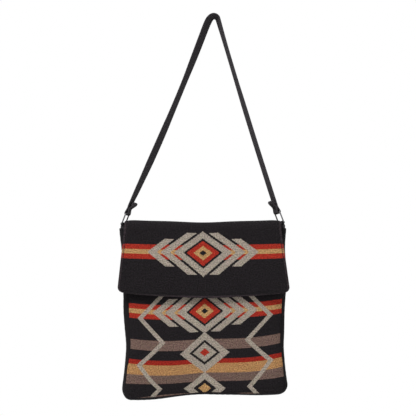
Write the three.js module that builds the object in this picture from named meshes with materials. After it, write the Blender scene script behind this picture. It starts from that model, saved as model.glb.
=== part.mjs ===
// Flap shoulder bag, hanging by its webbing strap as on a peg.
// Millimetres, +Z up, the front faces -Y. The origin is the underside of the strap at the hang point.
// Every cloth piece is a flat cut with a real thickness, bent to the place where it is sewn.

import * as THREE from 'three';
import { mergeVertices } from 'three/addons/utils/BufferGeometryUtils.js';

// Thicknesses of the cloths and webbings, and the gap kept between neighbouring pieces
const WOOL = 1.8;
const TWILL = 1.6;
const FACING = 1.2;
const LINING = 0.8;
const TAB_WEBBING = 1.8;
const STRAP_WEBBING = 2.4;
const CLEARANCE = 0.3;

// Body: two panels and a gusset strip round their sides and bottom.
// Drops are measured down from the top of the flap's fold.
const BODY_WIDTH = 304;
const BODY_DROP = 326;
const BODY_DEPTH = 38;
const CORNER_RADIUS = 14;
const PANEL_CROWN = 3;
const GUSSET_TOP_DROP = 16.5;
const GUSSET_SWELL = 7;

// How the hanging cloth settles: sides drawn in to a waist below the flap, one bottom corner
// hanging lower, and the body and the flap swung a little to the right
const WAIST_DRAW = 9.2;
const WAIST_DROP = 240;
const WAIST_ROUNDNESS = 0.2;
const WAIST_EASE = 1.3;
const LEFT_DROOP = 12;
const DROOP_ROUNDNESS = 1.3;
const DROOP_POWER = 4;
const BODY_SWING = 3.6;
const SWING_DROP = 130;
const FLAP_SWING = 1.7;

// Flap: sewn to the top of the back panel, folded over the mouth, hanging down the front
const FLAP_SIDE_GAP = 2.4;
const FLAP_FLARE = 15;
const FLAP_PINCH = 8;
const PINCH_RISE = 0.7;
const FLAP_HANG = 119;
const FLAP_BOW = 7;
const FLAP_CORNER_RADIUS = 11;
const FLAP_EASE = 4;
const FOLD_RADIUS = 17;
const FOLD_SAG = 5.6;
const SAG_KEPT = 0.4;
const SAG_FADE = 60;
const SEAM_BELOW_FOLD = 7;

// Magnetic snap under the flap
const SNAP_DROP = 100;
const SNAP_RADIUS = 9;
const SNAP_RECESS_RADIUS = 4.6;
const SNAP_RECESS_DEPTH = 1.4;
const SOCKET_HEIGHT = 2.6;
const STUD_HEIGHT = 1.5;

// Rings: bent wire, leaning in towards the strap and turned so that their far sides stand further in
const STRAP_WIDTH = 25;
const RING_WIRE = 2.6;
const RING_CORNER_RADIUS = 2.2;
const RING_SIDE_PLAY = 0.3;
const RING_INSIDE_HEIGHT = 19;
const RING_SIDE_GAP = 0.5;
const LEFT_RING_DROP = 9;
const RIGHT_RING_DROP = 6.4;
const RING_LEAN = THREE.MathUtils.degToRad(21);
const LEFT_RING_TURN = THREE.MathUtils.degToRad(9);
const RIGHT_RING_TURN = THREE.MathUtils.degToRad(15.5);

// Tabs: webbing loops sewn between the gusset and the lining
const TAB_LENGTH = 31;
const TAB_FIT = 0.5;
const TAB_BELOW_BAR = 4.1;

// Strap: one length of webbing, turned back through each ring
const HANG_RISE = 385;
const HANG_OFFSET = 20;
const APEX_RADIUS = 9;
const LEFT_LEG_SAG = 4;
const RIGHT_LEG_SAG = 2;
const LEFT_TWIST = THREE.MathUtils.degToRad(26);
const RIGHT_TWIST = THREE.MathUtils.degToRad(14);
const TWIST_SHARE = 0.3;
const TURNED_END = 22;
const TURNED_END_PEEL = 5.5;
const PEEL_SHARE = 0.6;
const LEG_LEAD = 12;

// Mesh steps
const PANEL_STEPS = 10;
const GUSSET_STEPS = 12;
const GUSSET_WIDTH_STEPS = 6;
const LINING_WIDTH_STEPS = 4;
const FLAP_STEPS = 12;
const HANG_STEPS = 7;
const CORNER_STEPS = 5;
const LOOP_STEPS = 8;
const TAB_STEPS = 3;
const TAB_WIDTH_STEPS = 6;
const STRAP_WIDTH_STEPS = 2;
const TURNED_END_STEPS = 5;
const HEM_STEPS = 4;
const LEG_STEPS = 12;
const WIRE_SIDES = 8;
const SNAP_SIDES = 28;

// Sizes that follow from the ones above
const HALF_WIDTH = BODY_WIDTH / 2;
const HALF_DEPTH = BODY_DEPTH / 2;
const PANEL_TOP_DROP = FOLD_RADIUS + SEAM_BELOW_FOLD;
const GUSSET_HALF_SPAN = HALF_DEPTH - WOOL - CLEARANCE;
const TAB_STACK = TAB_FIT + 2 * TAB_WEBBING + 2 * CLEARANCE;
const LINING_INSET = TWILL + TAB_STACK;
const LINING_HALF_DEPTH = HALF_DEPTH - WOOL - CLEARANCE;
const LINING_HALF_SPAN = LINING_HALF_DEPTH - LINING - CLEARANCE;
const RING_INSIDE_WIDTH = STRAP_WIDTH + 2 * (RING_CORNER_RADIUS + RING_SIDE_PLAY);
const RING_PITCH = RING_INSIDE_HEIGHT + RING_WIRE;
const RING_HALF = (RING_INSIDE_WIDTH + RING_WIRE) / 2;
const FLAP_HALF_TOP = HALF_WIDTH - TWILL - FLAP_SIDE_GAP;
const FLAP_THICKNESS = WOOL + CLEARANCE + FACING;
const FOLD_FRONT = -(HALF_DEPTH + FLAP_EASE + FLAP_THICKNESS);
const FOLD_AXIS = FOLD_FRONT + FOLD_RADIUS;

const { clamp, lerp, smoothstep } = THREE.MathUtils;

function fractions(steps) {
  return Array.from({ length: steps + 1 }, (_, i) => i / steps);
}

// A closed sheet: a box of steps across and along, each of its points put in place by a function
function bentSheet(acrossSteps, alongSteps, place) {
  const geometry = new THREE.BoxGeometry(1, 1, 1, acrossSteps, alongSteps, 1);
  const position = geometry.attributes.position;
  for (let i = 0; i < position.count; i += 1) {
    const across = position.getX(i) + 0.5;
    const row = Math.round((position.getY(i) + 0.5) * alongSteps);
    const through = position.getZ(i) + 0.5;
    const point = place(across, row, through);
    position.setXYZ(i, point.x, point.y, point.z);
  }
  return weld(geometry);
}

function weld(geometry) {
  geometry.deleteAttribute('normal');
  geometry.deleteAttribute('uv');
  const closed = mergeVertices(geometry, 1e-3);
  closed.computeVertexNormals();
  return closed;
}

function piece(name, geometry, color, roughness, metalness = 0) {
  const material = new THREE.MeshStandardMaterial({ color, roughness, metalness });
  const mesh = new THREE.Mesh(geometry, material);
  mesh.name = name;
  return mesh;
}

// Share of the body's height above the bottom seam, from 0 to 1 at the panels' top edges
function heightShare(z) {
  return clamp((z + BODY_DROP) / (BODY_DROP - PANEL_TOP_DROP), 0, 1);
}

// How far a panel swells away from the bag's middle plane
function crown(x, z) {
  const across = clamp(x / HALF_WIDTH, -1, 1);
  return PANEL_CROWN * (1 - across ** 2) * Math.sin(Math.PI * heightShare(z));
}

// The lower of two slopes, with the corner between them rounded off
function roundedLower(a, b, roundness) {
  const share = clamp(0.5 + (b - a) / (2 * roundness), 0, 1);
  return lerp(b, a, share) - roundness * share * (1 - share);
}

// How far the sides are drawn in: more and more down to the waist, then less again to the bottom
function waist(z) {
  const above = (-z / WAIST_DROP) ** WAIST_EASE;
  const below = (BODY_DROP + z) / (BODY_DROP - WAIST_DROP);
  return WAIST_DRAW * roundedLower(above, below, WAIST_ROUNDNESS);
}

function bodySwing(z) {
  return BODY_SWING * smoothstep(-z, 0, SWING_DROP);
}

// The set of the hanging body: drawn in at the waist, swung, and lower at the left bottom corner
function settle(point) {
  const share = heightShare(point.z);
  const left = clamp(-point.x / HALF_WIDTH, 0, 1);
  const droop = LEFT_DROOP * Math.sin(left * Math.PI / 2) ** DROOP_ROUNDNESS;
  point.x = point.x * (1 - waist(point.z) / HALF_WIDTH) + bodySwing(point.z);
  point.z -= droop * (1 - share) ** DROOP_POWER;
  return point;
}

// Panel outline, inset from the body's own: straight sides and round bottom corners.
// The rows are close together round the corners and even above them.
function panelRows(inset) {
  const radius = CORNER_RADIUS - inset / 2;
  const bottom = -BODY_DROP + inset;
  const half = HALF_WIDTH - inset;
  const corner = fractions(CORNER_STEPS).map((f) => {
    const turn = f * Math.PI / 2;
    return { z: bottom + radius * (1 - Math.cos(turn)), half: half - radius * (1 - Math.sin(turn)) };
  });
  const side = fractions(PANEL_STEPS).slice(1).map((f) => {
    return { z: lerp(bottom + radius, -PANEL_TOP_DROP, f), half };
  });
  return [...corner, ...side];
}

// facing is -1 for a front panel and 1 for a back panel
function panelSheet(facing, outerY, thickness, inset) {
  const rows = panelRows(inset);
  return bentSheet(PANEL_STEPS, rows.length - 1, (across, row, through) => {
    const { z, half } = rows[row];
    const x = (2 * across - 1) * half;
    const depth = facing < 0 ? 1 - through : through;
    const y = facing * (outerY + crown(x, z) - depth * thickness);
    return settle(new THREE.Vector3(x, y, z));
  });
}

// A strip round the sides and bottom of an inset outline, bowed outwards between its two seams
function gussetSheet(inset, halfSpan, thickness, topDrop, acrossSteps) {
  const radius = CORNER_RADIUS - inset / 2;
  const bottom = -BODY_DROP + inset;
  const half = HALF_WIDTH - inset;
  const left = fractions(GUSSET_STEPS).map((f) => {
    return { x: -half, z: lerp(-topDrop, bottom + radius, f), nx: -1, nz: 0 };
  });
  const corner = fractions(CORNER_STEPS).slice(1).map((f) => {
    const turn = f * Math.PI / 2;
    const nx = -Math.cos(turn);
    const nz = -Math.sin(turn);
    return { x: -half + radius + radius * nx, z: bottom + radius + radius * nz, nx, nz };
  });
  const base = fractions(GUSSET_STEPS).slice(1, -1).map((f) => {
    return { x: lerp(-half + radius, half - radius, f), z: bottom, nx: 0, nz: -1 };
  });
  const mirrored = [...left, ...corner].reverse().map((s) => ({ ...s, x: -s.x, nx: -s.nx }));
  const stations = [...left, ...corner, ...base, ...mirrored];
  return bentSheet(acrossSteps, stations.length - 1, (across, row, through) => {
    const { x, z, nx, nz } = stations[row];
    const share = 2 * across - 1;
    const out = GUSSET_SWELL * (1 - share ** 2) - (1 - through) * thickness;
    return settle(new THREE.Vector3(x + nx * out, share * halfSpan, z + nz * out));
  });
}

// Magnetic snap, its two halves set along Y between the front panel and the flap's facing
const SNAP_CROWN = Math.max(crown(0, SNAP_RADIUS - SNAP_DROP), crown(0, -SNAP_RADIUS - SNAP_DROP));
const SOCKET_BACK = -(HALF_DEPTH + SNAP_CROWN + CLEARANCE);
const SOCKET_FRONT = SOCKET_BACK - SOCKET_HEIGHT;
const STUD_FRONT = SOCKET_FRONT - CLEARANCE;
const STUD_BACK = STUD_FRONT - STUD_HEIGHT;

function snapHalf(profile) {
  const points = profile.map(([radius, y]) => new THREE.Vector2(radius, y));
  return weld(new THREE.LatheGeometry(points, SNAP_SIDES));
}

function snapSocket() {
  const floor = SOCKET_FRONT + SNAP_RECESS_DEPTH;
  const rim = SNAP_RECESS_RADIUS;
  return snapHalf([
    [0, floor],
    [rim, floor],
    [rim, SOCKET_FRONT],
    [SNAP_RADIUS, SOCKET_FRONT],
    [SNAP_RADIUS, SOCKET_BACK],
    [0, SOCKET_BACK],
  ]);
}

function snapStud() {
  const boss = SNAP_RECESS_RADIUS - CLEARANCE;
  return snapHalf([
    [0, STUD_BACK],
    [SNAP_RADIUS, STUD_BACK],
    [SNAP_RADIUS, STUD_FRONT],
    [boss, STUD_FRONT],
    [boss, STUD_FRONT + SNAP_RECESS_DEPTH],
    [0, STUD_FRONT + SNAP_RECESS_DEPTH],
  ]);
}

// Flap profile on its outer face, from the back seam over the fold to the hem.
// The hang slopes outwards so that the facing lies on the snap.
const FACING_AT_SNAP = STUD_BACK - CLEARANCE;
const SNAP_REACH = SNAP_DROP - SNAP_RADIUS - FOLD_RADIUS - FOLD_SAG * SAG_KEPT;
const FLAP_TILT = Math.atan((-HALF_DEPTH - FLAP_EASE - FACING_AT_SNAP) / SNAP_REACH);

function flapStations() {
  const backSeam = -PANEL_TOP_DROP + CLEARANCE;
  const backAxis = HALF_DEPTH - FOLD_RADIUS;
  const frontTurn = Math.PI / 2 - FLAP_TILT;
  const straight = FLAP_HANG - FLAP_CORNER_RADIUS;
  const onArc = (axis, turn) => ({
    y: axis + FOLD_RADIUS * Math.cos(turn),
    z: -FOLD_RADIUS + FOLD_RADIUS * Math.sin(turn),
    ny: Math.cos(turn),
    nz: Math.sin(turn),
    hang: 0,
  });
  const rise = fractions(1).map((f) => {
    return { y: HALF_DEPTH, z: lerp(backSeam, -FOLD_RADIUS, f), ny: 1, nz: 0, hang: 0 };
  });
  const backArc = fractions(CORNER_STEPS).slice(1).map((f) => onArc(backAxis, f * Math.PI / 2));
  const frontArc = fractions(CORNER_STEPS).map((f) => onArc(FOLD_AXIS, Math.PI / 2 + f * frontTurn));
  const foot = frontArc[CORNER_STEPS];
  const onHang = (hang) => ({
    y: foot.y - hang * Math.sin(FLAP_TILT),
    z: foot.z - hang * Math.cos(FLAP_TILT),
    ny: foot.ny,
    nz: foot.nz,
    hang,
  });
  const upper = fractions(HANG_STEPS).slice(1).map((f) => onHang(f * straight));
  const hem = fractions(CORNER_STEPS).slice(1).map((f) => {
    return onHang(straight + FLAP_CORNER_RADIUS * Math.sin(f * Math.PI / 2));
  });
  const behind = [...rise, ...backArc].map((s) => ({ ...s, slack: 1 - s.z / backSeam }));
  const before = [...frontArc, ...upper, ...hem].map((s) => {
    return { ...s, slack: lerp(1, SAG_KEPT, smoothstep(s.hang, 0, SAG_FADE)) };
  });
  return [...behind, ...before];
}

// How far the rings press in the ends of the fold: along each ring's lower bar, from nothing at its
// near side to the whole pinch at its far side, and letting go again down to the back seam
function pinch(y, slack) {
  const alongBar = clamp((y / RING_HALF + 1) / 2, 0, 1);
  return FLAP_PINCH * alongBar * smoothstep(slack, 0, PINCH_RISE);
}

function flapHalfWidth({ hang, y, slack }) {
  const flare = FLAP_HALF_TOP + FLAP_FLARE * hang / FLAP_HANG - pinch(y, slack);
  const past = Math.max(0, hang - FLAP_HANG + FLAP_CORNER_RADIUS);
  return flare - FLAP_CORNER_RADIUS + Math.sqrt(FLAP_CORNER_RADIUS ** 2 - past ** 2);
}

// A layer of the flap, from one depth under its outer face to another
function flapLayer(depth, thickness) {
  const stations = flapStations();
  return bentSheet(FLAP_STEPS, stations.length - 1, (across, row, through) => {
    const { y, z, ny, nz, hang, slack } = stations[row];
    const half = flapHalfWidth(stations[row]);
    const share = 2 * across - 1;
    const inwards = depth + through * thickness;
    const bow = FLAP_BOW * (1 - share ** 2) * (hang / FLAP_HANG) ** 2;
    const sag = FOLD_SAG * (1 - share ** 2) * slack;
    return new THREE.Vector3(
      share * half + FLAP_SWING * hang / FLAP_HANG,
      y - ny * inwards - bow * Math.sin(FLAP_TILT),
      z - nz * inwards - bow * Math.cos(FLAP_TILT) - sag,
    );
  });
}

// A wire ring standing on its lower bar: bars along Y, sides along Z
function ringWire() {
  const halfHeight = RING_PITCH / 2;
  const bend = RING_CORNER_RADIUS + RING_WIRE / 2;
  const corners = [[1, 1], [-1, 1], [-1, -1], [1, -1]];
  const stations = corners.flatMap(([sideY, sideZ], quarter) => fractions(CORNER_STEPS).map((f) => {
    const turn = (quarter + f) * Math.PI / 2;
    return {
      y: sideY * (RING_HALF - bend) + bend * Math.cos(turn),
      z: halfHeight + sideZ * (halfHeight - bend) + bend * Math.sin(turn),
      turn,
    };
  }));
  const steps = stations.length;
  const geometry = new THREE.TorusGeometry(1, 0.5, WIRE_SIDES, steps);
  const position = geometry.attributes.position;
  for (let i = 0; i < position.count; i += 1) {
    const { y, z, turn } = stations[i % (steps + 1) % steps];
    const round = Math.floor(i / (steps + 1)) / WIRE_SIDES * 2 * Math.PI;
    const out = RING_WIRE / 2 * Math.cos(round);
    position.setXYZ(i, RING_WIRE / 2 * Math.sin(round), y + out * Math.cos(turn), z + out * Math.sin(turn));
  }
  return weld(geometry);
}

// How far out a ring's lower bar stands, so that both its side wires clear the end of the fold:
// the near one beside the flap's full width, the far one where the fold is pressed in
function ringFoot(drop, turn) {
  const offset = RING_HALF * Math.sin(turn);
  const out = offset * Math.cos(RING_LEAN);
  const rise = offset * Math.sin(RING_LEAN);
  const near = FLAP_HALF_TOP + (drop - rise) * Math.tan(RING_LEAN) - out;
  const far = FLAP_HALF_TOP - FLAP_PINCH + (drop + rise) * Math.tan(RING_LEAN) + out;
  return Math.max(near, far) + RING_SIDE_GAP + RING_WIRE / 2 / Math.cos(RING_LEAN);
}

// The place of a ring: its foot beside the flap's fold. side is -1 on the left and 1 on the right.
function ringPlace(side, drop, turn) {
  const place = new THREE.Group();
  place.position.set(side * ringFoot(drop, turn), 0, -drop);
  place.rotation.set(0, -side * RING_LEAN, side * turn, 'YXZ');
  return place;
}

// Turn at which a line from a point, given from a circle's centre, touches the circle
function tangentTurn(x, z, radius, sense) {
  return Math.atan2(z, x) + sense * Math.acos(radius / Math.hypot(x, z));
}

// A tab: two layers of webbing inside the gusset's end, looped over the ring's lower bar.
// The outer layer stands up to just under the bar. Both layers leave the bar in a straight line.
function tabLoop(side, place) {
  place.updateMatrix();
  const reach = RING_WIRE / 2 + CLEARANCE + TAB_WEBBING / 2;
  const outerInset = TWILL + TAB_FIT + TAB_WEBBING / 2;
  const innerInset = outerInset + TAB_WEBBING + CLEARANCE;
  const onGusset = (inset, outwards, drop) => (w, k) => {
    const out = GUSSET_SWELL * (1 - (w / GUSSET_HALF_SPAN) ** 2) - inset + outwards * k;
    return settle(new THREE.Vector3(side * (HALF_WIDTH + out), w, -drop));
  };
  const outerTop = TAB_BELOW_BAR - place.position.z;
  const leave = (inset, drop, w, sense) => {
    const bar = new THREE.Vector3(0, w, 0).applyMatrix4(place.matrix);
    const top = onGusset(inset, 0, drop)(w, 0);
    return tangentTurn(side * (top.x - bar.x), top.z - bar.z, reach, sense) - RING_LEAN;
  };
  const onRing = (f) => (w, k) => {
    const first = leave(outerInset, outerTop, w, 1);
    const last = leave(innerInset, GUSSET_TOP_DROP, w, -1) + 2 * Math.PI;
    const turn = lerp(first, last, f);
    const n = side * (reach + k) * Math.cos(turn);
    return new THREE.Vector3(n, w, (reach + k) * Math.sin(turn)).applyMatrix4(place.matrix);
  };
  const tabEnd = GUSSET_TOP_DROP + TAB_LENGTH;
  const outer = fractions(TAB_STEPS).map((f) => onGusset(outerInset, 1, lerp(tabEnd, outerTop, f)));
  const loop = fractions(LOOP_STEPS).map((f) => onRing(f));
  const inner = fractions(TAB_STEPS).map((f) => {
    return onGusset(innerInset, -1, lerp(GUSSET_TOP_DROP, tabEnd, f));
  });
  const stations = [...outer, ...loop, ...inner];
  return bentSheet(TAB_WIDTH_STEPS, stations.length - 1, (across, row, through) => {
    return stations[row]((across - 0.5) * STRAP_WIDTH, side * (through - 0.5) * TAB_WEBBING);
  });
}

// One turned-back end of the strap: from its cut end, which is turned under, down and round the
// ring's upper bar to the leg. The end and the leg lie evenly on both sides of the ring's middle.
function turnedEnd(side, place) {
  const reach = RING_WIRE / 2 + CLEARANCE + STRAP_WEBBING / 2;
  const beside = (STRAP_WEBBING + CLEARANCE) / 2;
  const hemRadius = STRAP_WEBBING / 2 + CLEARANCE;
  const widthDirection = new THREE.Vector3(0, 1, 0).transformDirection(place.matrixWorld);
  const station = (out, up) => ({
    point: new THREE.Vector3(side * out, 0, RING_PITCH + up).applyMatrix4(place.matrixWorld),
    widthDirection,
  });
  const tailOut = (f) => {
    const near = lerp(beside + TURNED_END_PEEL, beside, smoothstep(f, 0, PEEL_SHARE));
    return -lerp(near, reach, smoothstep(f, PEEL_SHARE, 1));
  };
  const cutEnd = 1 / TURNED_END_STEPS;
  const under = station(tailOut(cutEnd) + 2 * hemRadius, TURNED_END * (1 - cutEnd));
  const hem = fractions(HEM_STEPS).slice(0, -1).map((f) => {
    const turn = f * Math.PI;
    const out = tailOut(0) + hemRadius * (1 + Math.cos(turn));
    return station(out, TURNED_END + hemRadius * Math.sin(turn));
  });
  const tail = fractions(TURNED_END_STEPS).slice(0, -1).map((f) => {
    return station(tailOut(f), TURNED_END * (1 - f));
  });
  const loop = fractions(LOOP_STEPS).map((f) => {
    const turn = f * Math.PI;
    return station(-reach * Math.cos(turn), -reach * Math.sin(turn));
  });
  const lead = fractions(TURNED_END_STEPS).slice(1).map((f) => {
    return station(lerp(reach, beside, smoothstep(f, 0, 1)), LEG_LEAD * f);
  });
  return [under, ...hem, ...tail, ...loop, ...lead];
}

function strapStations(leftPlace, rightPlace) {
  const leftEnd = turnedEnd(-1, leftPlace);
  const rightEnd = turnedEnd(1, rightPlace);
  const leftFoot = leftEnd[leftEnd.length - 1].point;
  const rightFoot = rightEnd[rightEnd.length - 1].point;
  const centreZ = STRAP_WEBBING / 2 - APEX_RADIUS;
  const leftTurn = tangentTurn(leftFoot.x, leftFoot.z - centreZ, APEX_RADIUS, -1) + 2 * Math.PI;
  const rightTurn = tangentTurn(rightFoot.x, rightFoot.z - centreZ, APEX_RADIUS, 1);
  const apex = fractions(LEG_STEPS).map((f) => {
    const turn = lerp(leftTurn, rightTurn, f);
    return {
      point: new THREE.Vector3(APEX_RADIUS * Math.cos(turn), 0, centreZ + APEX_RADIUS * Math.sin(turn)),
      twist: lerp(LEFT_TWIST, RIGHT_TWIST, smoothstep(f, TWIST_SHARE, 1)),
    };
  });
  const leg = (from, to, sag, side, twistAt) => fractions(LEG_STEPS).slice(1, -1).map((f) => {
    const point = from.clone().lerp(to, f);
    point.x -= side * 4 * sag * f * (1 - f);
    return { point, twist: twistAt(f) };
  });
  const leftLeg = leg(leftFoot, apex[0].point, LEFT_LEG_SAG, -1, (f) => {
    return lerp(LEFT_RING_TURN, LEFT_TWIST, smoothstep(f, 0, TWIST_SHARE));
  });
  const rightLeg = leg(apex[apex.length - 1].point, rightFoot, RIGHT_LEG_SAG, 1, (f) => {
    return lerp(RIGHT_TWIST, RIGHT_RING_TURN, f);
  });
  return [...leftEnd, ...leftLeg, ...apex, ...rightLeg, ...rightEnd.reverse()];
}

// The strap's width runs along Y, turned about the strap's own run by its twist, so that its inner
// face shows from the front
function strapSheet(stations) {
  const last = stations.length - 1;
  const frames = stations.map((station, i) => {
    const before = stations[Math.max(i - 1, 0)].point;
    const after = stations[Math.min(i + 1, last)].point;
    const run = after.clone().sub(before).normalize();
    const turned = () => new THREE.Vector3(0, 1, 0).applyAxisAngle(run, -station.twist);
    const across = station.widthDirection ?? turned();
    const outwards = run.clone().cross(across).normalize();
    return { point: station.point, across, outwards };
  });
  return bentSheet(STRAP_WIDTH_STEPS, last, (share, row, through) => {
    const { point, across, outwards } = frames[row];
    return point.clone()
      .addScaledVector(across, (share - 0.5) * STRAP_WIDTH)
      .addScaledVector(outwards, (0.5 - through) * STRAP_WEBBING);
  });
}

// Colours
const BLACK_WOOL = 0x252225;
const BLACK_TWILL = 0x1c1b1d;
const BLACK_WEBBING = 0x28272a;
const LINING_CLOTH = 0x2b2a2d;
const NICKEL = 0xb9b9bb;

const shoulderBag = new THREE.Group();
const bag = new THREE.Group();
bag.position.set(-HANG_OFFSET, 0, -HANG_RISE);
shoulderBag.add(bag);

bag.add(
  piece('front_panel', panelSheet(-1, HALF_DEPTH, WOOL, 0), BLACK_WOOL, 0.95),
  piece('back_panel', panelSheet(1, HALF_DEPTH, WOOL, 0), BLACK_WOOL, 0.95),
  piece(
    'gusset',
    gussetSheet(0, GUSSET_HALF_SPAN, TWILL, GUSSET_TOP_DROP, GUSSET_WIDTH_STEPS),
    BLACK_TWILL,
    0.95,
  ),
  piece('lining_front', panelSheet(-1, LINING_HALF_DEPTH, LINING, LINING_INSET), LINING_CLOTH, 0.8),
  piece('lining_back', panelSheet(1, LINING_HALF_DEPTH, LINING, LINING_INSET), LINING_CLOTH, 0.8),
  piece(
    'lining_gusset',
    gussetSheet(LINING_INSET, LINING_HALF_SPAN, LINING, PANEL_TOP_DROP, LINING_WIDTH_STEPS),
    LINING_CLOTH,
    0.8,
  ),
  piece('flap', flapLayer(0, WOOL), BLACK_WOOL, 0.95),
  piece('flap_facing', flapLayer(WOOL + CLEARANCE, FACING), BLACK_TWILL, 0.95),
);

const snap = new THREE.Group();
snap.position.set(bodySwing(-SNAP_DROP), 0, -SNAP_DROP);
snap.add(
  piece('snap_socket', snapSocket(), NICKEL, 0.3, 1),
  piece('snap_stud', snapStud(), NICKEL, 0.3, 1),
);
bag.add(snap);

const leftPlace = ringPlace(-1, LEFT_RING_DROP, LEFT_RING_TURN);
const rightPlace = ringPlace(1, RIGHT_RING_DROP, RIGHT_RING_TURN);
leftPlace.add(piece('left_ring', ringWire(), NICKEL, 0.25, 1));
rightPlace.add(piece('right_ring', ringWire(), NICKEL, 0.25, 1));
bag.add(
  leftPlace,
  rightPlace,
  piece('left_tab', tabLoop(-1, leftPlace), BLACK_WEBBING, 0.9),
  piece('right_tab', tabLoop(1, rightPlace), BLACK_WEBBING, 0.9),
);

shoulderBag.updateMatrixWorld(true);
const strap = strapSheet(strapStations(leftPlace, rightPlace));
shoulderBag.add(piece('strap', strap, BLACK_WEBBING, 0.9));

export default shoulderBag;
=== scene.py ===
# %% [markdown]
# # A flap shoulder bag in wool and webbing
# The bag hangs by its strap, the way it is stored on a peg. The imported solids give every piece
# its place and size. Here each cloth piece is cut again as a fine sheet with a rounded edge,
# bent to the same place, and given the look of wool, twill, webbing or nickel.

# %% Load the frame
import math

import bpy
import numpy as np
from mathutils import Matrix, Vector


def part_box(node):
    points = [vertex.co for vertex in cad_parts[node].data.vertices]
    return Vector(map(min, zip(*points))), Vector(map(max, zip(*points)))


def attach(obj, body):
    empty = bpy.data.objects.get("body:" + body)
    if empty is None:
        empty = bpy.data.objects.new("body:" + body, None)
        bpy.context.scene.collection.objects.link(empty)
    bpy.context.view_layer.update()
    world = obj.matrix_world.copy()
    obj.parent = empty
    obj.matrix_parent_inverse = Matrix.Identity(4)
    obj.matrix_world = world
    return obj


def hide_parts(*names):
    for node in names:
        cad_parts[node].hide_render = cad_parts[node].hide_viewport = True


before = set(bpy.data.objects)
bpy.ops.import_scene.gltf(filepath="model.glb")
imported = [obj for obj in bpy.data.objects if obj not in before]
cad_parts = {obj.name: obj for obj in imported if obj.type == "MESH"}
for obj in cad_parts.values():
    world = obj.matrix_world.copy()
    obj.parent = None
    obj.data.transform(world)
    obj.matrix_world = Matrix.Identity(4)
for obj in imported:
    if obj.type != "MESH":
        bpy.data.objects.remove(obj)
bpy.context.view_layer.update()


# %% [markdown]
# ## Where the bag hangs
# The frame's origin is the underside of the strap at its highest point. Measuring is easier on
# the bag itself, so the sheets are drawn in the bag's own axes: x from its middle, y from the
# middle of its depth with the front at minus y, and z from the top of the flap's fold. A drop is
# the same height counted downwards.

# %% Axes of the bag
FOLD_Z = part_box("flap")[1].z
PANEL_TOP = FOLD_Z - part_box("front_panel")[1].z
BAG_X = -0.020


def to_frame(x, y, z):
    """Points in the bag's axes, as points of the frame."""
    return np.stack([x + BAG_X, y + 0 * x, z + FOLD_Z], axis=-1)


print("fold", round(-FOLD_Z, 4), "m below the hang point")
print("panels", round(PANEL_TOP, 4), "m below the fold")

# %% [markdown]
# ## The camera
# The picture was taken straight on with a long lens: both sides of the flap are equally wide and
# neither the bottom nor the top of the fold can be seen into. An orthographic camera would be
# flatter than any lens, so an ordinary one stands three metres away, and its lens follows from how
# wide the picture is at the bag.

# %% Camera
PICTURE_PIXELS = 416
MM_PER_PIXEL = 1.9
STRAP_TOP_PIXEL = (213.3, 16.8)
CAMERA_DISTANCE = 3.0
SENSOR_MM = 36


def metres(pixels):
    return pixels * MM_PER_PIXEL / 1000


camera_data = bpy.data.cameras.new("camera")
camera_data.sensor_width = SENSOR_MM
camera_data.lens = SENSOR_MM * CAMERA_DISTANCE / metres(PICTURE_PIXELS)
camera = bpy.data.objects.new("camera", camera_data)
camera_x = metres(PICTURE_PIXELS / 2 - STRAP_TOP_PIXEL[0])
camera_z = metres(STRAP_TOP_PIXEL[1] - PICTURE_PIXELS / 2)
camera.location = (camera_x, -CAMERA_DISTANCE, camera_z)
camera.rotation_euler = (math.pi / 2, 0, 0)
bpy.context.scene.collection.objects.link(camera)
bpy.context.scene.camera = camera
print("lens", round(camera_data.lens, 1), "mm")

# %% [markdown]
# ## Light and backdrop
# Black wool needs broad, soft light, or it turns into a hole in the picture. One large soft box
# stands high on the left, so the flap's hem throws its shadow down on the body, a weaker one fills
# from the right, and a third one lights the back. The white around the bag is only what the camera
# sees: the light that reaches the cloth is set apart from it.

# %% Soft boxes
MIDDLE_OF_BAG = (BAG_X, 0, -0.5)
SOFT_BOXES = (
    ("key_light", (-1.1, -1.6, 1.8), 0.9, 82),
    ("fill_light", (1.6, -1.9, 0.3), 1.4, 13),
    ("rear_light", (0.6, 2.2, 0.8), 1.4, 31),
)


def soft_box(name, place, size, watts):
    """A square lamp that faces the middle of the bag."""
    data = bpy.data.lights.new(name, "AREA")
    data.shape = "SQUARE"
    data.size = size
    data.energy = watts
    lamp = bpy.data.objects.new(name, data)
    lamp.location = place
    aim = Vector(MIDDLE_OF_BAG) - Vector(place)
    lamp.rotation_euler = aim.to_track_quat("-Z", "Y").to_euler()
    bpy.context.scene.collection.objects.link(lamp)
    print(name, "of", watts, "W")


for lamp_facts in SOFT_BOXES:
    soft_box(*lamp_facts)

# %% World and floor
AMBIENT = 0.28
FLOOR_Z = -1.0
FLOOR_RADIUS = 1.2
FLOOR_GREY = 0.9
FLOOR_WHITE_SHARE = 0.6


def white_to_the_eye(tree, output, surface, glow, share):
    """Light meets the surface node, while the eye and mirrors see a share of the white glow."""
    tree.nodes.clear()
    kinds = (output, surface, glow, "MixShader", "LightPath", "Math")
    out, lit, white, mix, path, weigh = (tree.nodes.new("ShaderNode" + kind) for kind in kinds)
    seen = path.outputs["Is Camera Ray"]
    for name in ("Is Glossy Ray", "Is Transmission Ray"):
        either = tree.nodes.new("ShaderNodeMath")
        either.operation = "MAXIMUM"
        tree.links.new(seen, either.inputs[0])
        tree.links.new(path.outputs[name], either.inputs[1])
        seen = either.outputs[0]
    weigh.operation = "MULTIPLY"
    weigh.inputs[1].default_value = share
    tree.links.new(seen, weigh.inputs[0])
    for socket, node in enumerate((weigh, lit, white)):
        tree.links.new(node.outputs[0], mix.inputs[socket])
    tree.links.new(mix.outputs[0], out.inputs[0])
    return lit, white


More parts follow.
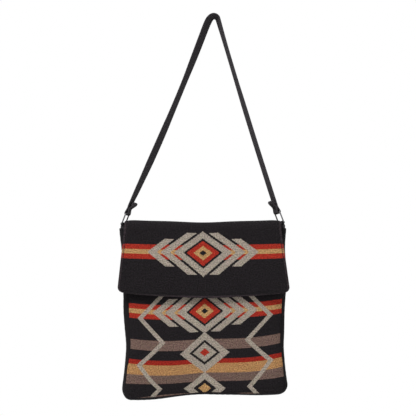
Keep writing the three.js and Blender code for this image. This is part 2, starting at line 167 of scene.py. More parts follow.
world = bpy.data.worlds.new("studio")
world.use_nodes = True
bpy.context.scene.world = world
sky_nodes = ("OutputWorld", "Background", "Background")
sky, sky_white = white_to_the_eye(world.node_tree, *sky_nodes, share=1)
sky.inputs["Strength"].default_value = AMBIENT
sky_white.inputs["Color"].default_value = (1, 1, 1, 1)

bpy.ops.mesh.primitive_circle_add(vertices=96, radius=FLOOR_RADIUS, fill_type="NGON")
floor = bpy.context.object
floor.location.z = FLOOR_Z
floor.name = "floor"
paint = bpy.data.materials.new("pale_floor")
paint.use_nodes = True
floor_nodes = ("OutputMaterial", "BsdfDiffuse", "Emission")
matt, _ = white_to_the_eye(paint.node_tree, *floor_nodes, share=FLOOR_WHITE_SHARE)
matt.inputs["Color"].default_value = (FLOOR_GREY, FLOOR_GREY, FLOOR_GREY, 1)
floor.data.materials.append(paint)
bpy.context.scene.view_settings.view_transform = "Standard"

# %% [markdown]
# ## Writing a weave as arithmetic
# A woven band is where a thread crosses, so its colour depends only on the place on the cloth. A
# painted picture could show that too, but it blurs close by, and a sum stays sharp. Every sheet
# below carries two maps in metres: cloth is the place on the flat cut, and border is the distance
# from the nearer side and from the nearer end, for wear along the edges. Small helpers turn sums on
# those maps into nodes, and the last two build the matt, slightly hairy surface of cloth.

# %% Sums on nodes
class Sums:
    """Arithmetic on one material's nodes."""

    def __init__(self, name):
        self.material = bpy.data.materials.new(name)
        self.material.use_nodes = True
        self.tree = self.material.node_tree
        self.shader = self.tree.nodes["Principled BSDF"]
        self.cloth = self.map("cloth")
        self.u, self.v = self.parts(self.cloth)

    def fill(self, node, sockets):
        """Links or sets a node's sockets, given by name or number."""
        for key, value in sockets.items():
            if isinstance(value, bpy.types.NodeSocket):
                self.tree.links.new(value, node.inputs[key])
            else:
                node.inputs[key].default_value = value

    def node(self, kind, sockets, **settings):
        node = self.tree.nodes.new("ShaderNode" + kind)
        for key, value in settings.items():
            setattr(node, key, value)
        self.fill(node, sockets)
        return node

    def __call__(self, operation, *values):
        return self.node("Math", dict(enumerate(values)), operation=operation).outputs[0]

    def map(self, name):
        return self.node("UVMap", {}, uv_map=name).outputs[0]

    def parts(self, vector):
        return self.node("SeparateXYZ", {0: vector}).outputs[:2]

    def both(self, first, second):
        return self("MULTIPLY", first, second)

    def between(self, value, low, high):
        return self.both(self("GREATER_THAN", value, low), self("LESS_THAN", value, high))

    def apart(self, value, middle):
        return self("ABSOLUTE", self("SUBTRACT", value, middle))

    def wave(self, place, length):
        return self("SINE", self("MULTIPLY", place, 2 * math.pi / length))

    def spread(self, value, low, high, to_low, to_high):
        sockets = (value, low, high, to_low, to_high)
        return self.node("MapRange", dict(enumerate(sockets))).outputs[0]

    def noise(self, scale, stretch=(1, 1, 1), detail=2.0, roughness=0.5, output="Fac"):
        """Noise with about this many patches to a metre, more or fewer where it is stretched."""
        place = self.node("Mapping", {0: self.cloth, "Scale": stretch}).outputs[0]
        sockets = {"Vector": place, "Scale": scale, "Detail": detail, "Roughness": roughness}
        return self.node("TexNoise", sockets).outputs[output]

    def patchy(self, noise, low, high, swing=0.2):
        """Noise that swings about a half, spread from low to high."""
        return self.spread(noise, 0.5 - swing, 0.5 + swing, low, high)

    def tints(self, scale, stretch, low, high, swing=0.2):
        """Patches that change a colour a little differently in its red, green and blue."""
        noise = self.noise(scale, stretch, detail=1.0, output="Color")
        limits = [(number,) * 3 for number in (0.5 - swing, 0.5 + swing, low, high)]
        sockets = dict(enumerate((noise, *limits), start=6))
        return self.node("MapRange", sockets, data_type="FLOAT_VECTOR").outputs[1]

    def mix(self, share, under, over, blend="MIX"):
        """Two colours; a colour Mix has its factor in socket 0 and its colours in 6 and 7."""
        sockets = {0: share, 6: under, 7: over}
        return self.node("Mix", sockets, data_type="RGBA", blend_type=blend).outputs[2]

    def shade(self, colour, share):
        """The colour, made darker or lighter by a share."""
        return self.mix(1, colour, share, blend="MULTIPLY")

    def bump(self, height, distance, strength):
        sockets = {"Height": height, "Distance": distance, "Strength": strength}
        self.fill(self.shader, {"Normal": self.node("Bump", sockets).outputs[0]})

    def matt(self, roughness, specular, sheen):
        sockets = {"Roughness": roughness, "Specular IOR Level": specular}
        sockets.update({"Sheen Weight": sheen, "Sheen Roughness": 0.6})
        self.fill(self.shader, sockets)


print("sums on nodes ready")

# %% [markdown]
# ## The wool's colours
# The cloth is blanket wool: a black ground, with red, gold and taupe wefts in bands and a heather
# grey for the figures. The bands run straight across the loom. A colour ramp could hold them, but a
# weaver counts threads, so each band is written as the thread at which it starts, counted down the
# cloth. The lowest ones are painted a shade darker, as painted shade for the light that falls off
# towards the bottom of the body.

# %% Wool colours
def linear(red, green, blue):
    """A colour seen as 0 to 255, as the shader's own values."""
    def one(value):
        share = value / 255
        return share / 12.92 if share <= 0.04045 else ((share + 0.055) / 1.055) ** 2.4
    return (one(red), one(green), one(blue), 1)


BLACK = linear(32, 29, 31)
RED = linear(156, 46, 35)
GOLD = linear(174, 136, 90)
TAUPE = linear(110, 89, 81)
GREY = linear(154, 144, 132)
# Painted shade: the lowest bands are darker for the light that falls off towards the bottom.
SHADED_BOTTOM_RED = linear(144, 39, 30)
SHADED_BOTTOM_GOLD = linear(167, 125, 82)
SHADED_BOTTOM_TAUPE = linear(106, 86, 78)
MARGIN_LIGHT_AND_SHADE = linear(72, 62, 66)

FLAP_BANDS = ((48, RED), (58, GOLD), (67, RED), (77, BLACK))
BODY_BANDS = (
    (166, RED), (176, GOLD), (185, RED), (195, BLACK), (237, TAUPE), (257, BLACK),
    (276, SHADED_BOTTOM_RED), (285, SHADED_BOTTOM_GOLD), (304, SHADED_BOTTOM_TAUPE), (321, BLACK), (345, SHADED_BOTTOM_TAUPE),
)
print("bands:", len(FLAP_BANDS), "on the flap and", len(BODY_BANDS), "on the body")

# %% [markdown]
# ## The loom
# A loom can change colour only from thread to thread. Snapping the place on the cloth to the thread
# count gives bands and figures the stepped edges that this makes, a little ragged with loose fibre.
# Weaving starts from the black ground, and each new colour goes over what is there already.

# %% Loom
THREAD = 0.00095
RAGGED = 0.0004


class Loom(Sums):
    """One cloth: the place on it counted in threads, and the colour woven so far."""

    def __init__(self, name):
        super().__init__(name)
        ragged = self.patchy(self.noise(900), -RAGGED, RAGGED)
        across = self("SNAP", self("ADD", self("ADD", self.u, ragged), THREAD / 2), THREAD)
        self.across = self("ABSOLUTE", across)
        self.down = self("SNAP", self("ADD", self.v, ragged), THREAD)
        self.colour = BLACK

    def weave(self, mask, colour):
        self.colour = self.mix(mask, self.colour, colour)

    def bands(self, bands):
        for count, colour in bands:
            self.weave(self("GREATER_THAN", self.down, (count - 0.5) * THREAD), colour)


print("loom of", round(1 / THREAD), "threads to a metre")

# %% [markdown]
# ## Woven figures
# The figures are a plain stepped design of nested diamonds, chevrons and zigzags, as blankets of
# many makers carry. They are built from two sums: the distance across from a middle line, and the
# distance from a place down the cloth. A diamond is where the two together stay under a size.

# %% Figures
FLAP_FIGURE = 62.5 * THREAD
BODY_FIGURE = 181 * THREAD
DIAMOND_SLOPE = 1.3
BAND_DIAMOND = ((0.055, GREY), (0.037, BLACK), (0.031, RED), (0.018, GOLD), (0.007, BLACK))
CHEVRONS = ((0.087, 0.105, 0.0260), (0.062, 0.080, 0.0385))
MIDDLE_DIAMOND = ((0.050, GREY), (0.031, BLACK), (0.024, GREY), (0.010, RED))
MIDDLE_DIAMOND_DROP = 0.2500
FOOT_DIAMOND = ((0.040, GREY), (0.022, BLACK), (0.012, GOLD))
FOOT_DIAMOND_DROP = 0.3180
ZIGZAG_FROM_MIDDLE = 0.086
ZIGZAG_START = 0.1400
ZIGZAG_REACH = 0.044
ZIGZAG_HALF = 0.0055


def diamond_size(loom, middle):
    """The size of the diamond about a place on the middle line that goes through each point."""
    return loom("ADD", loom.across, loom("MULTIPLY", loom.apart(loom.down, middle), DIAMOND_SLOPE))


def nested_diamonds(loom, middle, rings):
    """Diamonds one inside another about a place on the middle line; rings are (size, colour)."""
    size = diamond_size(loom, middle)
    for edge, colour in rings:
        loom.weave(loom("LESS_THAN", size, edge), colour)


def band_figure(loom, middle):
    """The figure woven over a band: a stepped diamond with two chevrons on each side."""
    size = diamond_size(loom, middle)
    for inner, outer, half_height in CHEVRONS:
        cut_off = loom("LESS_THAN", loom.apart(loom.down, middle), half_height)
        loom.weave(loom.both(loom.between(size, inner, outer), cut_off), GREY)
    nested_diamonds(loom, middle, BAND_DIAMOND)


def zigzag(loom):
    """A line on each side of the middle that swings out and in again on its way down."""
    out = loom("PINGPONG", loom("SUBTRACT", loom.down, ZIGZAG_START), ZIGZAG_REACH)
    from_line = loom.apart(loom.across, loom("ADD", ZIGZAG_FROM_MIDDLE, out))
    loom.weave(loom("LESS_THAN", from_line, ZIGZAG_HALF), GREY)


print("band figure", 2 * CHEVRONS[0][1], "m wide")

# %% [markdown]
# ## Blanket wool
# Uneven fibres, slubs and specks of three sizes make the wool heather, and a fine diagonal is its
# weave. Strands of hair could stand for the fibres, but each is finer than a pixel here, so noise in
# the colour and a little bump do the same. Outside the flap's topstitching, a dull purplish grey is
# painted over the turned edge: painted shade where it rolls away over the bands, and a painted
# highlight over the black. A dark line of painted shade runs along the stitching groove.

# %% Wool
HEM_STITCH = 0.0045
HEM_BLEND = 0.0008
FULL_GROOVE_SHADE_HALF = 0.0004
GROOVE_SHADE_HALF = 0.0013
WEAVE_PITCH = 0.0017


def paint_margin_light_and_shade(loom):
    """Painted light and shade outside the topstitching, and painted shade along its groove."""
    edge = loom("MINIMUM", *loom.parts(loom.map("border")))
    # Painted shade and painted highlight on the turned margin, and painted shade along the groove.
    margin = loom.spread(edge, HEM_STITCH - HEM_BLEND, HEM_STITCH, 1, 0)
    painted_patches = loom.patchy(loom.noise(150), 0.2, 0.5, swing=0.15)
    groove_shade = loom.spread(loom.apart(edge, HEM_STITCH), FULL_GROOVE_SHADE_HALF, GROOVE_SHADE_HALF, 0.65, 0)
    loom.weave(loom.both(margin, painted_patches), MARGIN_LIGHT_AND_SHADE)
    loom.weave(groove_shade, BLACK)


def wool_off(loom):
    """The cloth off the loom: its colours made heather, and its hairy surface."""
    fibre = loom.noise(1500, detail=3, roughness=0.7)
    slub = loom.noise(300, stretch=(0.12, 1.7, 1))
    speck = loom.noise(470, stretch=(0.85, 1.15, 1), detail=1)
    uneven = loom.both(loom.patchy(fibre, 0.76, 1.24, swing=0.25), loom.patchy(slub, 0.9, 1.1))
    tone = loom.both(uneven, loom.patchy(speck, 0.5, 1.5))
    heather = loom.shade(loom.colour, loom.tints(330, (0.7, 1.2, 1), 0.95, 1.05))
    loom.fill(loom.shader, {"Base Color": loom.shade(heather, tone)})
    weave = loom.wave(loom("ADD", loom.u, loom.v), WEAVE_PITCH)
    height = loom("ADD", loom("MULTIPLY", weave, 0.35), fibre)
    loom.bump(height, distance=0.0006, strength=0.5)
    loom.matt(roughness=0.95, specular=0.02, sheen=0.03)
    print(loom.material.name, "has", len(loom.tree.nodes), "nodes")
    return loom.material


loom = Loom("flap_wool")
loom.bands(FLAP_BANDS)
band_figure(loom, FLAP_FIGURE)
paint_margin_light_and_shade(loom)
flap_wool = wool_off(loom)

loom = Loom("body_wool")
loom.bands(BODY_BANDS)
band_figure(loom, BODY_FIGURE)
zigzag(loom)
nested_diamonds(loom, MIDDLE_DIAMOND_DROP, MIDDLE_DIAMOND)
nested_diamonds(loom, FOOT_DIAMOND_DROP, FOOT_DIAMOND)
body_wool = wool_off(loom)

# %% [markdown]
# ## Plain cloths, webbing and metal
# The gusset, the facing and the lining are plain black. What tells them apart is how they are
# woven: a fine diagonal twill, a smooth cotton, and the strap's heavy slanting ribs, which end in a
# smooth woven edge. Modelled one by one the ribs would take a great many faces, so a single
# function draws every such cloth as a bump, from its rib, its slant and its depth. The rings are
# nickel-plated wire with a slight haze of handling, and painted shade darkens their far side. The
# snap has the same plating, without the painted shade.

# %% Plain materials
WOVEN_EDGE = 0.0022
NICKEL = linear(100, 100, 102)
FAR_SHADE_REACH = 0.006


def plain_cloth(name, colour, rib, diagonal, depth, specular, sheen=0.03):
    """Cloth of one colour; its ribs slant by the diagonal and stop short of the woven edge."""
    sums = Sums(name)
    fibre = sums.noise(1400, detail=3, roughness=0.7)
    tone = sums.patchy(fibre, 0.75, 1.25, swing=0.25)
    sums.fill(sums.shader, {"Base Color": sums.shade(linear(*colour), tone)})
    ribs = sums.wave(sums("ADD", sums("MULTIPLY", sums.u, diagonal), sums.v), rib)
    from_side = sums.parts(sums.map("border"))[0]
    inside = sums.spread(from_side, WOVEN_EDGE / 2, WOVEN_EDGE, 0, 0.5)
    nap = sums("MULTIPLY", fibre, 0.4)
    sums.bump(sums("ADD", sums.both(ribs, inside), nap), distance=depth, strength=0.6)
    sums.matt(roughness=0.9, specular=specular, sheen=sheen)
    return sums.material


def nickel_plate(name, far_side_shaded):
    """Nickel with a haze on it, and painted shade that darkens the side away from the front."""
    sums = Sums(name)
    haze = sums.noise(300, detail=4)
    tone = sums.patchy(haze, 0.9, 1.05)
    # Painted shade: the wire is darker towards its far side.
    if far_side_shaded:
        tone = sums.both(tone, sums.spread(sums.u, -FAR_SHADE_REACH, FAR_SHADE_REACH, 0.95, 0.15))
    sockets = {"Metallic": 1, "Roughness": sums.patchy(haze, 0.16, 0.3)}
    sums.fill(sums.shader, {"Base Color": sums.shade(NICKEL, tone), **sockets})
    return sums.material


twill_cloth = plain_cloth(
    "black_twill", (28, 26, 28), rib=0.0016, diagonal=1.0, depth=0.0004, specular=0.02)
lining_cloth = plain_cloth(
    "lining_cotton", (38, 36, 40), rib=0.0008, diagonal=0.0, depth=0.0002, specular=0.08, sheen=0.02)
webbing_cloth = plain_cloth(
    "ribbed_webbing", (58, 55, 58), rib=0.0021, diagonal=0.5, depth=0.0007, specular=0.03)
thread = plain_cloth(
    "black_thread", (30, 28, 30), rib=0.0006, diagonal=1.0, depth=0.0002, specular=0.1)
ring_nickel = nickel_plate("far_side_shaded_nickel", True)
snap_nickel = nickel_plate("clean_nickel", False)
print("plain materials ready")

# %% [markdown]
# ## A sheet with two skins and a rounded rim
# Cloth is thin but not flat: a cut edge is turned in and shows a soft round rim. Blender could
# thicken a plane with Solidify, which leaves a square edge. Here each sheet is a grid on its
# middle surface with a skin on both sides, and the skins close on the border in a half circle.

# %% Lines of a grid
RIM_STEPS = 3


def edged(low, high, steps, rim):
    """Even steps from low to high, with close steps round the rim at both ends."""
    close = rim * (1 - np.cos(np.arange(RIM_STEPS) / RIM_STEPS * math.pi / 2))
    even = np.linspace(low + rim, high - rim, steps)
    return np.concatenate([low + close, even, high - close[::-1]])


def unit(vectors):
    return vectors / np.linalg.norm(vectors, axis=-1, keepdims=True)


def run_length(points, axis=0):
    """Distance along a line of points, or along every line of a grid."""
    steps = np.linalg.norm(np.diff(points, axis=axis), axis=-1)
    return np.insert(np.cumsum(steps, axis=axis), 0, 0, axis=axis)


def border_distance(middle, axis):
    """Distance of every grid point from the nearer border, along one direction of the grid."""
    from_low = run_length(middle, axis)
    return np.minimum(from_low, np.take(from_low, [-1], axis=axis) - from_low)


print("rims of", RIM_STEPS, "close steps")

# %% Sheet builder
def make_piece(name, points, faces, material, maps, smooth_shaded=True):
    """An object from points and faces; each map gives every point its place, in metres."""
    mesh = bpy.data.meshes.new(name)
    mesh.from_pydata(points, [], faces)
    corners = [point for face in faces for point in face]
    for map_name, places in maps.items():
        layer = mesh.uv_layers.new(name=map_name)
        layer.data.foreach_set("uv", np.asarray(places)[corners].ravel())
    mesh.polygons.foreach_set("use_smooth", [smooth_shaded] * len(faces))
    mesh.materials.append(material)
    piece = bpy.data.objects.new(name, mesh)
    bpy.context.scene.collection.objects.link(piece)
    return piece


def cloth_sheet(name, middle, cloth, thickness, material):
    """A closed sheet over a grid of middle points, with its two maps, cloth and border."""
    rim = thickness / 2
    border = np.stack([border_distance(middle, 1), border_distance(middle, 0)], axis=-1)
    open_share = np.clip(border.min(axis=-1) / rim, 0, 1)
    half = rim * np.sqrt(1 - (1 - open_share) ** 2)
    normals = unit(np.cross(np.gradient(middle, axis=1), np.gradient(middle, axis=0)))
    offset = normals * half[..., None]
    inner = np.zeros(middle.shape[:2], bool)
    inner[1:-1, 1:-1] = True
    top_index = np.arange(inner.size).reshape(inner.shape)
    under_index = top_index.copy()
    under_index[inner] = inner.size + np.arange(inner.sum())

    def both_skins(top, under):
        return np.concatenate([top.reshape(-1, top.shape[-1]), under[inner]])

    def quads(index):
        corners = (index[:-1, :-1], index[:-1, 1:], index[1:, 1:], index[1:, :-1])
        return np.stack([corner.ravel() for corner in corners], axis=1)

    points = both_skins(middle + offset, middle - offset)
    faces = np.concatenate([quads(top_index), quads(under_index)[:, ::-1]])
    maps = {"cloth": both_skins(cloth, cloth), "border": both_skins(border, border)}
    return make_piece(name, points.tolist(), faces.tolist(), material, maps)


def place_piece(piece, slot, *nodes):
    """The piece moves with the bag's one body, and stands for these solids of the frame."""
    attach(piece, "root")
    if nodes:
        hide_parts(*nodes)
    print(piece.name, "has", len(piece.data.polygons), "faces")


def lay_sheet(name, grid, thickness, material, slot, node, **facts):
    """A sheet that stands for a solid; its facts, its flat size and how it is held, are not used."""
    piece = cloth_sheet(name, *grid, thickness, material)
    place_piece(piece, slot, node)


print("sheet builder ready")

# %% [markdown]
# ## How the hanging body settles
# An almost empty wool bag is soft: its sides draw in to a waist below the flap, its left bottom
# corner hangs lower than the rest, and it swings a little to the right. The solids have the same
# waist. A lattice could bend all pieces of the body alike. One function that moves every place on
# the flat cut to where it hangs does so too, and each of its sizes has a name.

# %% Settling of the body
HALF_WIDTH = 0.152
BODY_DROP = 0.326
WAIST_DRAW = 0.0092
WAIST_DROP = 0.240
WAIST_ROUNDNESS = 0.2
WAIST_EASE = 1.3
NECK_DRAW = 0.0018
NECK_DROP = 0.110
LEFT_DROOP = 0.012
RIGHT_DROOP = 0.0026
DROOP_ROUNDNESS = 1.3
DROOP_POWER = 12
HOLLOW_EASE = 1.2
BODY_SWING = 0.0036
SWING_DROP = 0.130


def smooth(value, low, high):
    """0 below low and 1 above high, with a soft start and end between them."""
    share = np.clip((value - low) / (high - low), 0, 1)
    return share * share * (3 - 2 * share)


def side_share(x, side):
    """0 at the bag's middle and over its other half, 1 at the seam of this side."""
    return np.clip(side * x / HALF_WIDTH, 0, 1)


def height_share(z):
    return np.clip((z + BODY_DROP) / (BODY_DROP - PANEL_TOP), 0, 1)


def rounded_lower(a, b, roundness):
    """The lower of two slopes, with the corner between them rounded off."""
    share = np.clip(0.5 + (b - a) / (2 * roundness), 0, 1)
    return b + (a - b) * share - roundness * share * (1 - share)


def waist(z):
    above = np.maximum(-z / WAIST_DROP, 0) ** WAIST_EASE
    below = (BODY_DROP + z) / (BODY_DROP - WAIST_DROP)
    neck = NECK_DRAW * np.sin(math.pi * np.clip(-z / NECK_DROP, 0, 1)) ** 2
    return WAIST_DRAW * rounded_lower(above, below, WAIST_ROUNDNESS) + neck


def right_hollow(x):
    """1 a little past the middle of the right half, 0 at the bag's middle and at its side."""
    return np.sin(math.pi * side_share(x, 1) ** HOLLOW_EASE) ** 2


def settle(x, z):
    """Where a place on the flat cut hangs."""
    droop = LEFT_DROOP * np.sin(side_share(x, -1) * math.pi / 2) ** DROOP_ROUNDNESS
    droop = droop + RIGHT_DROOP * right_hollow(x)
    droop = droop * (1 - height_share(z)) ** DROOP_POWER
    swing = BODY_SWING * smooth(-z, 0, SWING_DROP)
    return x * (1 - waist(z) / HALF_WIDTH) + swing, z - droop


print("waist drawn in by", round(1000 * float(waist(-WAIST_DROP)), 1), "mm on each side")

# %% [markdown]
# ## Waves and puckers
# Slack cloth is never flat. Long shallow waves cross each panel, and along every seam the thread
# pulls the cloth into small puckers. A cloth simulation could give both, but sums of sines whose
# lengths don't fit into each other look as loose, and come out the same each time.

# %% Waves and puckers
WAVE_LENGTHS = (0.23, 0.17, 0.12, 0.085)
WAVE_STEEPNESS = 0.006
WAVE_TURN = 1.7
WAVE_SHIFT = 2.1
PUCKER_HEIGHT = 0.0005
PUCKER_LENGTH = 0.0125
PUCKER_REACH = 0.009
PULL_RATE = 41
PITCH_RATE = 90


def soft_waves(x, z, seed):
    """Long shallow waves of slack cloth, each in its own direction."""
    height = 0
    for i, length in enumerate(WAVE_LENGTHS):
        angle = seed + WAVE_TURN * i
        along = x * math.cos(angle) + z * math.sin(angle)
        phase = 2 * math.pi * along / length + WAVE_SHIFT * seed * (i + 1)
        height = height + WAVE_STEEPNESS * length * np.sin(phase)
    return height


def seam_puckers(distance, along, seed):
    """Uneven ripples that the thread pulls up along a seam, dying out with the distance from it."""
    pulled = 0.6 + 0.4 * np.sin(along * PULL_RATE + seed)
    uneven = seed + 1.5 * np.sin(along * PITCH_RATE)
    ripple = np.sin(2 * math.pi * along / PUCKER_LENGTH + uneven)
    return PUCKER_HEIGHT * pulled * ripple * np.exp(-distance / PUCKER_REACH)


print("waves up to", round(1000 * WAVE_STEEPNESS * max(WAVE_LENGTHS), 1), "mm high")

# %% [markdown]
# ## Front and back panels
# Each panel is one rectangle of blanket cloth with small round corners at the bottom. Seen from
# the front it swells a little in the middle, and it rolls back a few millimetres at the seams. A
# plane trimmed to that outline would end in ragged faces. Here the rows of the grid get shorter
# round the corners, so the panel's border is the seam line itself, and the gusset below starts on
# exactly the same curve. Below the flap the side seams roll in. The front's bands climb towards the
# right seam, and it was cut a little askew, so the start of one more band shows along the bottom.

# %% Panel outline
CORNER_RADIUS = 0.014
SEAM_SET_IN = {-1: 0.0034, 1: 0.0006}
SET_IN_DROPS = (0.06, 0.13)
SET_BACK_DROPS = (0.245, 0.29)
SET_BACK_SHARE = 0.7


def corner_radius(inset):
    return CORNER_RADIUS - inset / 2


def outline_half(z, inset=0.0):
    """Half the panel's width at a height, with round bottom corners."""
    radius = corner_radius(inset)
    above = np.clip(z + BODY_DROP - inset, 0, radius)
    return HALF_WIDTH - inset - radius + np.sqrt(radius ** 2 - (radius - above) ** 2)


def set_in(x, z, inset=0.0):
    """The rolled-in seam: x drawn in by a few millimetres between the flap and the bottom."""
    amount = np.where(x < 0, SEAM_SET_IN[-1], SEAM_SET_IN[1])
    amount = amount * smooth(-z, *SET_IN_DROPS) * (1 - SET_BACK_SHARE * smooth(-z, *SET_BACK_DROPS))
    return x * (1 - amount / outline_half(z, inset))


print("panels", 2 * HALF_WIDTH, "m wide")

# %% Bands on the front
RIGHT_CLIMB = 0.011
HIGH_CLIMB = 0.72
CLIMB_DROPS = (0.17, 0.24)
LEFT_DIP = 0.004
LEVEL_ABOVE_SEAM = 0.03
CUT_SKEW = {-1: 0.004, 1: 0.0032}
SKEW_START = 0.29


def band_climb(x, z):
    """How far the bands stand above level, less near the top and not at all at the bottom seam."""
    right = RIGHT_CLIMB * side_share(x, 1) ** 3
    right = right * (HIGH_CLIMB + (1 - HIGH_CLIMB) * smooth(-z, *CLIMB_DROPS))
    left = LEFT_DIP * np.sin(math.pi * side_share(x, -1))
    return (right - left) * smooth(z + BODY_DROP, 0.0, LEVEL_ABOVE_SEAM)


def cut_askew(x, drop):
    """How much further down the cloth the bottom edge was cut."""
    left = CUT_SKEW[-1] * np.sin(math.pi * side_share(x, -1))
    right = CUT_SKEW[1] * right_hollow(x) ** 2
    return (left + right) * smooth(drop, SKEW_START, BODY_DROP)


climb_at_waist = float(band_climb(HALF_WIDTH, -WAIST_DROP))
print("bands climb", round(1000 * climb_at_waist, 1), "mm to the right seam at the waist")

# %% Panel surface
CROWN = 0.003
SEAM_ROLL = 0.0042
SIDE_ROLL_REACH = 0.006
BOTTOM_ROLL_REACH = 0.007
SEAM_LINE = 0.002
STILL_BORDER = 0.02
CORNER_TURNS = np.linspace(0.2, 1.57, 8)


def panel_depth(x, z, half, seed, inset):
    """How far the panel stands out from where it would lie flat."""
    side = half - np.abs(x)
    bottom = z + BODY_DROP - inset
    crown = CROWN * (1 - np.clip(x / HALF_WIDTH, -1, 1) ** 2) * np.sin(math.pi * height_share(z))
    roll = np.maximum(np.exp(-side / SIDE_ROLL_REACH), np.exp(-bottom / BOTTOM_ROLL_REACH))
    waves = soft_waves(x, z, seed) * smooth(np.minimum(side, bottom), 0.0, STILL_BORDER)
    puckers = seam_puckers(side, z, seed) + seam_puckers(bottom, x, seed + 2)
    return crown - SEAM_ROLL * roll + waves + puckers * smooth(side, 0.0, SEAM_LINE)


def panel_grid(facing, outer, thickness, seed, inset=0.0, steps=110):
    """Middle points of a panel that faces the front or the back, and their places on the cloth."""
    rim = thickness / 2
    bottom = BODY_DROP - inset
    corner = bottom - corner_radius(inset) * (1 - np.cos(CORNER_TURNS))
    down = np.unique(np.concatenate([edged(PANEL_TOP, bottom, steps, rim), corner]))
    s, drop = np.meshgrid(edged(-1, 1, steps, rim / HALF_WIDTH), down)
    half = outline_half(-drop, inset)
    x = s * half
    y = facing * (outer - rim + panel_depth(x, -drop, half, seed, inset))
    skew, climb = (cut_askew(x, drop), band_climb(x, -drop)) if facing < 0 else (0, 0)
    cloth = np.stack([x, drop + skew], axis=-1)
    x, z = settle(set_in(x, -drop, inset), -drop)
    return to_frame(x, y, z + climb), cloth


print("panels swell", 1000 * CROWN, "mm and roll back", 1000 * SEAM_ROLL, "mm at the seams")

# %% Front and back
HALF_DEPTH = 0.019
WOOL = 0.0018
PANEL_FLAT = (2 * HALF_WIDTH, BODY_DROP - PANEL_TOP)
PANEL_SEEDS = {-1: 0.4, 1: 1.9}

for facing, node in ((-1, "front_panel"), (1, "back_panel")):
    grid = panel_grid(facing, HALF_DEPTH, WOOL, PANEL_SEEDS[facing])
    facts = {"flat": PANEL_FLAT, "held": "hung", "rests_on": ["gusset"]}
    lay_sheet(node + "_cloth", grid, WOOL, body_wool, "wool", node, **facts)

# %% [markdown]
# ## The gusset
# One strip of plain twill runs down the left side, under the bottom and up the right side. Between
# its two seams it bows outwards, so it shows as a narrow black border round the panel. It bows less
# under the bottom, and the slack left side swells and then draws in again. Bridging the panels'
# edges would give a flat strip. Following a path round the outline gives the bow as well, and the
# length of strip that has to be cut.

# %% Gusset
TWILL = 0.0016
GUSSET_TOP = 0.0165
GUSSET_SWELL = 0.007
GUSSET_HALF_SPAN = HALF_DEPTH - WOOL / 2 - SEAM_ROLL
BASE_EASE = 0.0012
LEFT_RIPPLE = 0.0021
RIPPLE_DROPS = (0.150, 0.310)
STRIP_STEPS = 21
STRIP_SLACK = 0.0007
SLACK_RATE = 55
STRIP_BOW = 0.003
GUSSET_SEED = 0.7
STRIP_HELD = {"held": "hung", "rests_on": ["left_tab", "right_tab"]}


def u_path(top, inset, side_steps, corner_steps, base_steps):
    """Points and outward directions round an outline: down the left side, along, and up again."""
    radius = corner_radius(inset)
    bottom = -BODY_DROP + inset
    half = HALF_WIDTH - inset
    left = [(-half, z, -1.0, 0.0) for z in np.linspace(-top, bottom + radius, side_steps)]
    for turn in np.linspace(0, math.pi / 2, corner_steps)[1:]:
        nx, nz = -math.cos(turn), -math.sin(turn)
        left.append((-half + radius + radius * nx, bottom + radius + radius * nz, nx, nz))
    reach = half - radius
    base = [(x, bottom, 0.0, -1.0) for x in np.linspace(-reach, reach, base_steps)[1:-1]]
    right = [(-x, z, -nx, nz) for x, z, nx, nz in reversed(left)]
    return np.array(left + base + right)


def gusset_swell(x, z):
    """How far the strip's middle bows out from the seams, at a place on the outline."""
    base = BASE_EASE * smooth(-z, BODY_DROP - CORNER_RADIUS, BODY_DROP)
    start, stop = RIPPLE_DROPS
    along = np.clip((-z - start) / (stop - start), 0, 1)
    ripple = np.where(x < 0, LEFT_RIPPLE * np.sin(2 * math.pi * along), 0)
    return GUSSET_SWELL - TWILL / 2 - base + ripple


def gusset_grid(path, inset, half_span, swell, thickness, seed):
    """Middle points of a strip that follows a path, and their places on the cloth."""
    share = edged(-1, 1, STRIP_STEPS, thickness / 2 / half_span)
    w, row = np.meshgrid(share, np.arange(len(path)))
    px, pz, nx, nz = (path[row, i] for i in range(4))
    length = run_length(path[:, :2])[row]
    side = (1 - np.abs(w)) * half_span
    slack = STRIP_SLACK * np.sin(length * SLACK_RATE + seed)
    out = (swell(px, pz) + slack) * (1 - w ** 2)
    out = out + seam_puckers(side, length, seed) * smooth(side, 0, SEAM_LINE)
    rolled = (set_in(px, pz, inset) - px) * w ** 2
    x, z = settle(px + nx * out + rolled, pz + nz * out)
    return to_frame(x, w * half_span, z), np.stack([w * half_span, length], axis=-1)


def strip_flat(half_span, cloth):
    """Width of a strip with its bow laid flat, and its length."""
    return (2 * half_span + STRIP_BOW, float(cloth[-1, 0, 1]))


gusset_path = u_path(GUSSET_TOP, 0, side_steps=150, corner_steps=10, base_steps=130)
grid = gusset_grid(gusset_path, 0, GUSSET_HALF_SPAN, gusset_swell, TWILL, GUSSET_SEED)
gusset_flat = strip_flat(GUSSET_HALF_SPAN, grid[1])
facts = {"flat": gusset_flat, **STRIP_HELD}
lay_sheet("gusset_cloth", grid, TWILL, twill_cloth, "twill", "gusset", **facts)
print("gusset strip", round(gusset_flat[1], 3), "m long")

# %% [markdown]
# ## The lining
# Inside, a cotton lining of the same three shapes hangs a few millimetres smaller, with the webbing
# tabs caught between it and the gusset. A copy made smaller would lose its even distance from the
# cloth, so the same functions cut it again with an inset, and with fewer steps.

# %% Lining
GAP = 0.0003
LINING = 0.0008
LINING_INSET = 0.0063
LINING_OUTER = HALF_DEPTH - WOOL - GAP
LINING_HALF_SPAN = LINING_OUTER - LINING / 2 - SEAM_ROLL
LINING_SWELL = 0.0045
LINING_SEED = 0.2
LINING_FLAT = (2 * (HALF_WIDTH - LINING_INSET), BODY_DROP - PANEL_TOP - LINING_INSET)


def lining_swell(x, z):
    return LINING_SWELL


